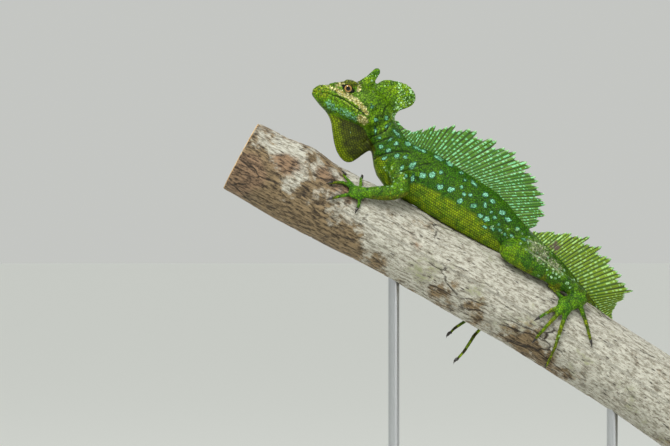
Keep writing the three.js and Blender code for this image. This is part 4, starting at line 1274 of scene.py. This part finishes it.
def rayed_sail(name, sail, seed):
    """A grid laid from the sail's base to its edge, with its points drawn in between the rays."""
    rays = sail["rays"]
    bpy.ops.mesh.primitive_grid_add(x_subdivisions=rays * POINTS_PER_RAY, y_subdivisions=SAIL_ROWS, size=MM)
    piece = bpy.context.object
    piece.name = piece.data.name = name
    grid = points_of(piece)
    u, v = grid[:, 0] + 0.5, grid[:, 1] + 0.5
    chance = np.random.default_rng(seed)
    ray = np.rint(u * rays).astype(int)
    off_ray = np.abs(u * rays - ray) * 2  # 0 on a ray and 1 midway between two
    steps_in = (-np.arange(rays + 1) % RAYS_PER_TOOTH) / RAYS_PER_TOOTH
    lengths = 1 - TOOTH * steps_in - 0.06 * chance.random(rays + 1)
    lean = 0.35 * (chance.random(rays + 1) - 0.5) / rays
    reach = lengths[ray] - NOTCH * step_up(0.15, 0.85, off_ray) * step_up(0.5, 1, v)
    foot = smooth_curve(sail["base"], u)
    rib = (smooth_curve(sail["edge"], u + lean[ray] * v) - foot) * reach[:, None]
    place = foot + rib * v[:, None]
    place[:, 1] += PLEAT * np.sin(u * rays * math.pi) * step_up(0.1, 1, v) + WAVE * np.sin(u * 17) * v**2
    move_points(piece, place)
    ridge = (1 - np.minimum(1, off_ray / 0.7) ** 1.5) * (1 - 0.4 * v)
    half = WEB_HALF + (RAY_HALF - WEB_HALF) * ridge + FOOT_HALF * (1 - step_up(0, 0.2, v))
    half *= 1 - 0.5 * step_up(0.94, 1, v)
    group = piece.vertex_groups.new(name="thickness")
    thickest = float(half.max())
    for i, weight in enumerate(half / thickest):
        group.add([i], float(weight), "REPLACE")
    paint(piece, "ray_number", u * rays)
    paint(piece, "off_ray", off_ray)
    paint(piece, "mm_up", np.linalg.norm(rib, axis=1) * v)
    paint(piece, "share_up", v)
    paint(piece, "stain", spots_field(place[:, [0, 2]], SAIL_STAINS))
    apply_modifier(
        piece, "SOLIDIFY", thickness=2 * thickest * MM, offset=0, vertex_group="thickness",
        thickness_vertex_group=0,
    )
    return piece


# %% Skin of the sails, and both sails


def sail_material(name, web_dark, web_light, ray_colour, dash_colour, dash_step):
    """Skin over cartilage rays: green web, paler rays, and pale dashes along each ray.

    The web's dark gaps between the rays are painted shade.
    """
    material, tree = new_material(name)
    place = object_place(tree)
    soft = noise_at(tree, place, 70.0, 4.0)
    off_ray = number_field(tree, "off_ray")
    # A dash is a stretch of noise that is one ray wide.
    whole_ray = maths(tree, "ROUND", number_field(tree, "ray_number"))
    steps = maths(tree, "DIVIDE", number_field(tree, "mm_up"), dash_step)
    lie = add_node(tree, "ShaderNodeCombineXYZ", X=steps, Y=product(tree, whole_ray, 7.31)).outputs[0]
    in_plane = {"noise_dimensions": "2D"}
    dashes = add_node(tree, "ShaderNodeTexNoise", in_plane, Vector=lie, Scale=1.0, Detail=1.0).outputs["Fac"]
    dash = product(tree, ramp(tree, dashes, 0.52, 0.6), ramp(tree, off_ray, 0.55, 0.25))
    on_ray = ramp(tree, off_ray, 0.62, 0.3)
    web = mixed(tree, ramp(tree, soft, 0.35, 0.65), web_dark, web_light)
    # Painted shade in patches on the web between the rays.
    gaps = product(tree, ramp(tree, off_ray, 0.55, 0.95), ramp(tree, soft, 0.36, 0.56))
    web = mixed(tree, gaps, web, "#14260a")
    colour = mixed(tree, on_ray, web, ray_colour)
    toned = add_node(tree, "ShaderNodeHueSaturation", Color=colour, Value=0.66, Saturation=1.22)
    colour = mixed(tree, dash, toned.outputs["Color"], dash_colour)
    tips = product(tree, ramp(tree, number_field(tree, "share_up"), 0.93, 0.99), on_ray)
    colour = mixed(tree, tips, colour, "#93c48a")
    blot = noise_at(tree, place, 260.0, 3.0)
    colour = mixed(tree, field(tree, "stain", 0.5, 4.5, blot, 7.0), colour, "#57483a")
    grain = cells_at(tree, place, 1 / (1.2 * MM))["Distance"]
    finish_surface(tree, grain, 0.4, 0.2, Base_Color=colour, Roughness=0.48, IOR=1.5)
    return material


back_skin = sail_material("back_sail_skin", "#2f6a0a", "#64961a", "#5a941a", "#7cc88c", 2.2)
tail_skin = sail_material("tail_sail_skin", "#4c7c0a", "#8fb414", "#94b81c", "#a8d47c", 2.6)
SAILS = {"back_crest": (BACK_SAIL, back_skin), "tail_crest": (TAIL_SAIL, tail_skin)}
for seed, (node, (sail, material)) in enumerate(SAILS.items()):
    piece = rayed_sail(node + "_sail", sail, seed + 5)
    dress(piece, material)
    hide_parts(node)
    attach(piece, "root")
    print(piece.name, "triangles:", triangles_of(piece))

# %% [markdown]
# ## The branch
#
# A cut length of pale, weathered wood with brown patches, stains, pits and fine cracks in its bark. Its
# shape is the CAD's. The relief could be left to the material, but then the wood's outline would stay as
# smooth as a pipe. A copy is remeshed into even quads, smoothed, and roughened inwards, so that it never
# rises into the skin that lies on it. Distances along and around the wood let the pattern follow it.

# %% The bark's surface
BRANCH_LINE = [(-187, 414), (-106.8, 370.8), (0, 313.4), (80.7, 266.5), (121.4, 240), (187, 195.9)]
BRANCH_RADIUS = 31  # mm, turns an angle round the wood into a distance
SAWN_REACH = 12  # mm from an end where a face may be sawn
BARK_VOXEL = 1.25  # mm
WEAR_DEPTH = 0.5  # mm that the bark is worn down in its hollows
CRACK_DEPTH = 0.7


def direction(start, end):
    """The way from one place to another, one mm long."""
    step = np.array(end, float) - np.array(start, float)
    return step / np.linalg.norm(step)


bark = joined("bark", [copy_of("branch")])
apply_modifier(bark, "REMESH", mode="VOXEL", voxel_size=BARK_VOXEL * MM, adaptivity=0)
in_edit_mode(bark, lambda: bpy.ops.mesh.vertices_smooth(factor=0.5, repeat=6))
points = points_of(bark)
normals = normals_of(bark)
side_view = points[:, [0, 2]]
gap, along, side_of_line = line_distance(side_view, BRANCH_LINE)
around = np.arctan2(gap * side_of_line, points[:, 1])
facing_front = -(normals[:, [0, 2]] @ direction(*BRANCH_LINE[:2]))
facing_back = normals[:, [0, 2]] @ direction(*BRANCH_LINE[-2:])
sawn_front = (along < SAWN_REACH) * step_up(0.6, 0.9, facing_front)
sawn_back = (along > length_of(BRANCH_LINE) - SAWN_REACH) * step_up(0.6, 0.9, facing_back)
sawn = np.maximum(sawn_front, sawn_back)
rough = np.array([noise.fractal(Vector(p * 0.045), 0.9, 2.1, 5) for p in points])
round_places = zip(along * 0.05, np.cos(around) * 2.2, np.sin(around) * 2.2 + 7)
crack = np.array([noise.noise(Vector(place)) for place in round_places])
depth = WEAR_DEPTH * step_up(-0.6, 0.6, -rough) + CRACK_DEPTH * bump(crack, 0.05)
points = points - normals * (depth * (1 - sawn))[:, None]
move_points(bark, points)
print("bark sinks inwards by up to", round(float(depth.max()), 2), "mm")

# %% Where the bark's colours go
# Brown stains and scars on the near face: x, z, half length, half width, turn.
STAINS = [
    (-147, 408, 15, 11, -28), (-44, 342, 4.5, 7, 30), (-185, 400, 18, 16, -20), (27, 331, 11, 4.5, -32),
    (-118, 400, 12, 6, -30), (-98, 384, 16, 8, -30),
]

stain = np.where(points[:, 1] < 12, spots_field(points[:, [0, 2]], STAINS), FAR_OUT)
left_end = step_up(-50, -120, points[:, 0])
under = step_up(0.2, -0.8, normals[:, 2])
paint(bark, "along", along)
paint(bark, "around", around * BRANCH_RADIUS)
paint(bark, "sawn", sawn)
paint(bark, "from_heart", np.hypot(gap, points[:, 1]))
paint(bark, "stain", stain)
# The brown share: the bark's own brown towards the left end, and painted shade on the underside.
paint(bark, "shade", 0.5 * left_end + 0.4 * under)
print("points in a stain:", int((stain > 0).sum()))

# %% Textures and colours of the bark


def bark_textures(tree):
    """Noises along the wood and in space, with cracks and pits."""
    along, around = number_field(tree, "along"), number_field(tree, "around")
    lie = add_node(tree, "ShaderNodeCombineXYZ", X=product(tree, along, 0.3), Y=around).outputs[0]
    patches = noise_at(tree, object_place(tree), 22.0, 7.0, 0.7)
    bend = add_node(tree, "ShaderNodeTexNoise", Vector=lie, Scale=0.12, Detail=4.0).outputs["Color"]
    added = {"operation": "MULTIPLY_ADD"}
    bent = add_node(tree, "ShaderNodeVectorMath", added, i0=bend, i1=(9, 9, 0), i2=lie)
    cracks = cells_at(tree, bent.outputs[0], 0.06, "DISTANCE_TO_EDGE")["Distance"]
    pits = cells_at(tree, lie, 0.4)
    return SimpleNamespace(
        patches=patches,
        lichen=noise_at(tree, object_place(tree), 42.0, 5.0, 0.6),
        specks=noise_at(tree, lie, 0.42, 6.0, 0.74),
        streaks=noise_at(tree, lie, 0.8, 6.0, 0.72),
        crack=product(tree, ramp(tree, cracks, 0.035, 0.0), ramp(tree, patches, 0.47, 0.58)),
        pit=product(tree, ramp(tree, pits["Distance"], 0.3, 0.12), ramp(tree, pits["Color"], 0.6, 0.75)),
    )


def bark_colour(tree, t):
    """Pale grey with streaks and a little lichen, brown patches and stains, then pits and cracks.

    The brown on the underside is painted shade.
    """
    pale = mixed(tree, ramp(tree, t.specks, 0.36, 0.6), "#7d7868", "#c2c0b2")
    pale = mixed(tree, ramp(tree, t.specks, 0.4, 0.33), pale, "#4a4338")
    pale = mixed(tree, ramp(tree, t.streaks, 0.54, 0.62), pale, "#756c5e")
    pale = mixed(tree, ramp(tree, t.streaks, 0.4, 0.33), pale, "#40382c")
    mossy = product(tree, ramp(tree, t.lichen, 0.56, 0.68), ramp(tree, t.specks, 0.45, 0.56))
    pale = mixed(tree, mossy, pale, "#8f9170")
    brown = mixed(tree, ramp(tree, t.specks, 0.38, 0.6), "#2e2417", "#8c7858")
    stained = mixed(tree, ramp(tree, t.specks, 0.4, 0.58), "#31251a", "#8e7459")
    colour = mixed(tree, ramp(tree, t.patches, 0.56, 0.66), pale, brown)
    # Brown towards the left end, and brown on the underside as painted shade.
    colour = mixed(tree, field(tree, "shade", 0.36, 0.62, t.patches, 1.4), colour, brown)
    colour = mixed(tree, field(tree, "stain", -2.0, 5.0, t.patches, 16.0), colour, stained)
    colour = mixed(tree, product(tree, t.pit, 0.85), colour, "#3a3026")
    return mixed(tree, t.crack, colour, "#2c241a")


# %% Bark material


def bark_material():
    """Dead outer bark: dry, rough and matt. The sawn ends are bare pale wood."""
    material, tree = new_material("weathered_pale_bark")
    textures = bark_textures(tree)
    # Growth rings round the heart of the wood.
    wobble = maths(tree, "MULTIPLY_ADD", textures.patches, 6.0, number_field(tree, "from_heart"))
    rings = maths(tree, "SINE", product(tree, wobble, 2.6))
    wood = mixed(tree, ramp(tree, rings, -1, 1), "#b08c5c", "#dcc296")
    colour = mixed(tree, field(tree, "sawn", 0.3, 0.7), bark_colour(tree, textures), wood)
    height = maths(tree, "SUBTRACT", maths(tree, "SUBTRACT", textures.specks, textures.crack), textures.pit)
    finish_surface(tree, height, 0.8, 1.0, Base_Color=colour, Roughness=0.85, IOR=1.45)
    return material


dress(bark, bark_material())
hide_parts("branch")
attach(bark, "root")
print("bark triangles:", triangles_of(bark))

# %% [markdown]
# ## The stand
#
# A plain board and two steel rods, as a museum holds a specimen. The CAD's plain solids would do at a
# distance, but no finished board keeps a sharp edge. So the board is a cube primitive with its upright
# corners and then its top edge bevelled. The rods keep the CAD's size with more sides, and a thin collar
# stands just over the board at the foot of each.

# %% Stand
BASE_THICK = 15.0
BASE_CORNER = 14.0
BASE_EDGE = 2.0
ROD_RADIUS = 4.5
COLLAR_RADIUS = 9.0
COLLAR_HIGH = 4.0
COLLAR_GAP = 0.3  # mm between the collar and the board
COLLAR_EDGE = 0.8


def bevel_edges(piece, wanted, size, segments):
    """Bevels the edges whose two ends answer to wanted. The size is in mm."""
    only(piece)
    bpy.ops.object.mode_set(mode="EDIT")
    bpy.ops.mesh.select_mode(type="EDGE")
    bpy.ops.mesh.select_all(action="DESELECT")
    bpy.ops.object.mode_set(mode="OBJECT")
    for edge in piece.data.edges:
        edge.select = wanted(*(piece.data.vertices[i].co for i in edge.vertices))
    bpy.ops.object.mode_set(mode="EDIT")
    bpy.ops.mesh.bevel(offset=size * MM, segments=segments, affect="EDGES")
    bpy.ops.object.mode_set(mode="OBJECT")


def stand_base():
    low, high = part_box("stand_base")
    bpy.ops.mesh.primitive_cube_add(size=1, location=(low + high) / 2, scale=high - low)
    board = fresh_piece()
    board.name = board.data.name = "display_base"
    bevel_edges(board, lambda a, b: abs(a.z - b.z) > 1 * MM, BASE_CORNER, 12)
    bevel_edges(board, lambda a, b: min(a.z, b.z) > high.z - 0.01 * MM, BASE_EDGE, 4)
    return board


def upright_cylinder(radius, height, place):
    bpy.ops.mesh.primitive_cylinder_add(vertices=64, radius=radius * MM, depth=height, location=place)
    return fresh_piece()


def stand_rod(node):
    """A rod with a thin collar just over the board."""
    low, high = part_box(node)
    middle = (low + high) / 2
    bar = upright_cylinder(ROD_RADIUS, high.z - low.z, middle)
    bottom = (BASE_THICK + COLLAR_GAP) * MM
    collar_place = (middle.x, middle.y, bottom + COLLAR_HIGH * MM / 2)
    collar = upright_cylinder(COLLAR_RADIUS, COLLAR_HIGH * MM, collar_place)
    apply_modifier(collar, "BEVEL", width=COLLAR_EDGE * MM, segments=3, limit_method="ANGLE")
    return joined(node + "_bar", [bar, collar])


# %% Wood and steel of the stand


def stretched(tree, scale):
    """Object coordinates, drawn out along one axis."""
    return add_node(tree, "ShaderNodeMapping", Vector=object_place(tree), Scale=scale).outputs[0]


def base_material():
    """Dark stained hardwood under oil, with its grain along the board."""
    material, tree = new_material("stained_oiled_hardwood")
    grain = noise_at(tree, stretched(tree, (6, 90, 90)), 2.4, 8.0, 0.62)
    colour = mixed(tree, grain, "#1d1714", "#4a3a2e")
    finish_surface(tree, grain, 0.15, 0.2, Base_Color=colour, Roughness=0.38, IOR=1.5)
    return material


def rod_material():
    """Stainless steel, brushed along the rod, so its roughness varies from line to line."""
    material, tree = new_material("brushed_stainless_steel")
    lines = noise_at(tree, stretched(tree, (900, 900, 12)), 1.0, 3.0)
    rough = add_node(tree, "ShaderNodeMapRange", Value=lines)
    rough.inputs["To Min"].default_value = 0.24
    rough.inputs["To Max"].default_value = 0.42
    sheen = rough.outputs["Result"]
    finish_material(
        tree, add_node(tree, "ShaderNodeBsdfPrincipled", Base_Color="#b9bbbd", Metallic=1.0, Roughness=sheen)
    )
    return material


board = stand_base()
dress(board, base_material())
only(board)
bpy.ops.object.shade_smooth_by_angle(angle=math.radians(30))
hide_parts("stand_base")
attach(board, "root")
print(board.name, "triangles:", triangles_of(board))
steel = rod_material()
for node in ("stand_rod_front", "stand_rod_back"):
    rod = stand_rod(node)
    dress(rod, steel)
    bpy.ops.object.shade_smooth_by_angle(angle=math.radians(30))
    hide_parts(node)
    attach(rod, "root")
    print(rod.name, "triangles:", triangles_of(rod))

# %% [markdown]
# ## Floor and light
#
# A plain pale floor, a soft key light above and in front, a weaker fill, a rim light behind, a broad
# overhead light and a pale sky all round. The light in the photo is soft and comes from above, so the key
# is large and high.

# %% Floor, lights and world
bpy.ops.mesh.primitive_plane_add(size=60, location=(0, 0, 0))
floor = bpy.context.object
floor.name = "floor"
# Matt paint, so that it takes shadows and throws no glare.
floor_paint, tree = new_material("matt_pale_floor")
finish_material(tree, add_node(tree, "ShaderNodeBsdfPrincipled", Base_Color="#eceeea", Roughness=0.9))
dress(floor, floor_paint)


def soft_light(name, place, aim, size, power):
    """A square lamp of this size in metres and power in watts, turned towards its aim."""
    bpy.ops.object.light_add(type="AREA", location=place)
    lamp = bpy.context.object
    lamp.name = name
    lamp.data.size = size
    lamp.data.energy = power
    towards = Vector(aim) - Vector(place)
    lamp.rotation_euler = towards.to_track_quat("-Z", "Y").to_euler()


soft_light("key", (-0.5, -1.1, 1.9), (0, 0, 0.35), 0.8, 30)
soft_light("fill", (1.3, -1.4, 0.8), (0, 0, 0.35), 1.2, 5)
soft_light("rim", (0.4, 1.3, 1.3), (0, 0, 0.38), 0.8, 12)
bpy.ops.object.light_add(type="SUN", location=(0, 0, 3), rotation=(math.radians(28), math.radians(-14), 0))
bpy.context.object.name = "overhead"
bpy.context.object.data.energy = 0.45
bpy.context.object.data.angle = math.radians(30)
world = bpy.data.worlds.new("pale_studio")
bpy.context.scene.world = world
world.use_nodes = True
world.node_tree.nodes["Background"].inputs["Color"].default_value = linear("#e6e8e4")
world.node_tree.nodes["Background"].inputs["Strength"].default_value = 0.7
bpy.context.scene.view_settings.view_transform = "Standard"
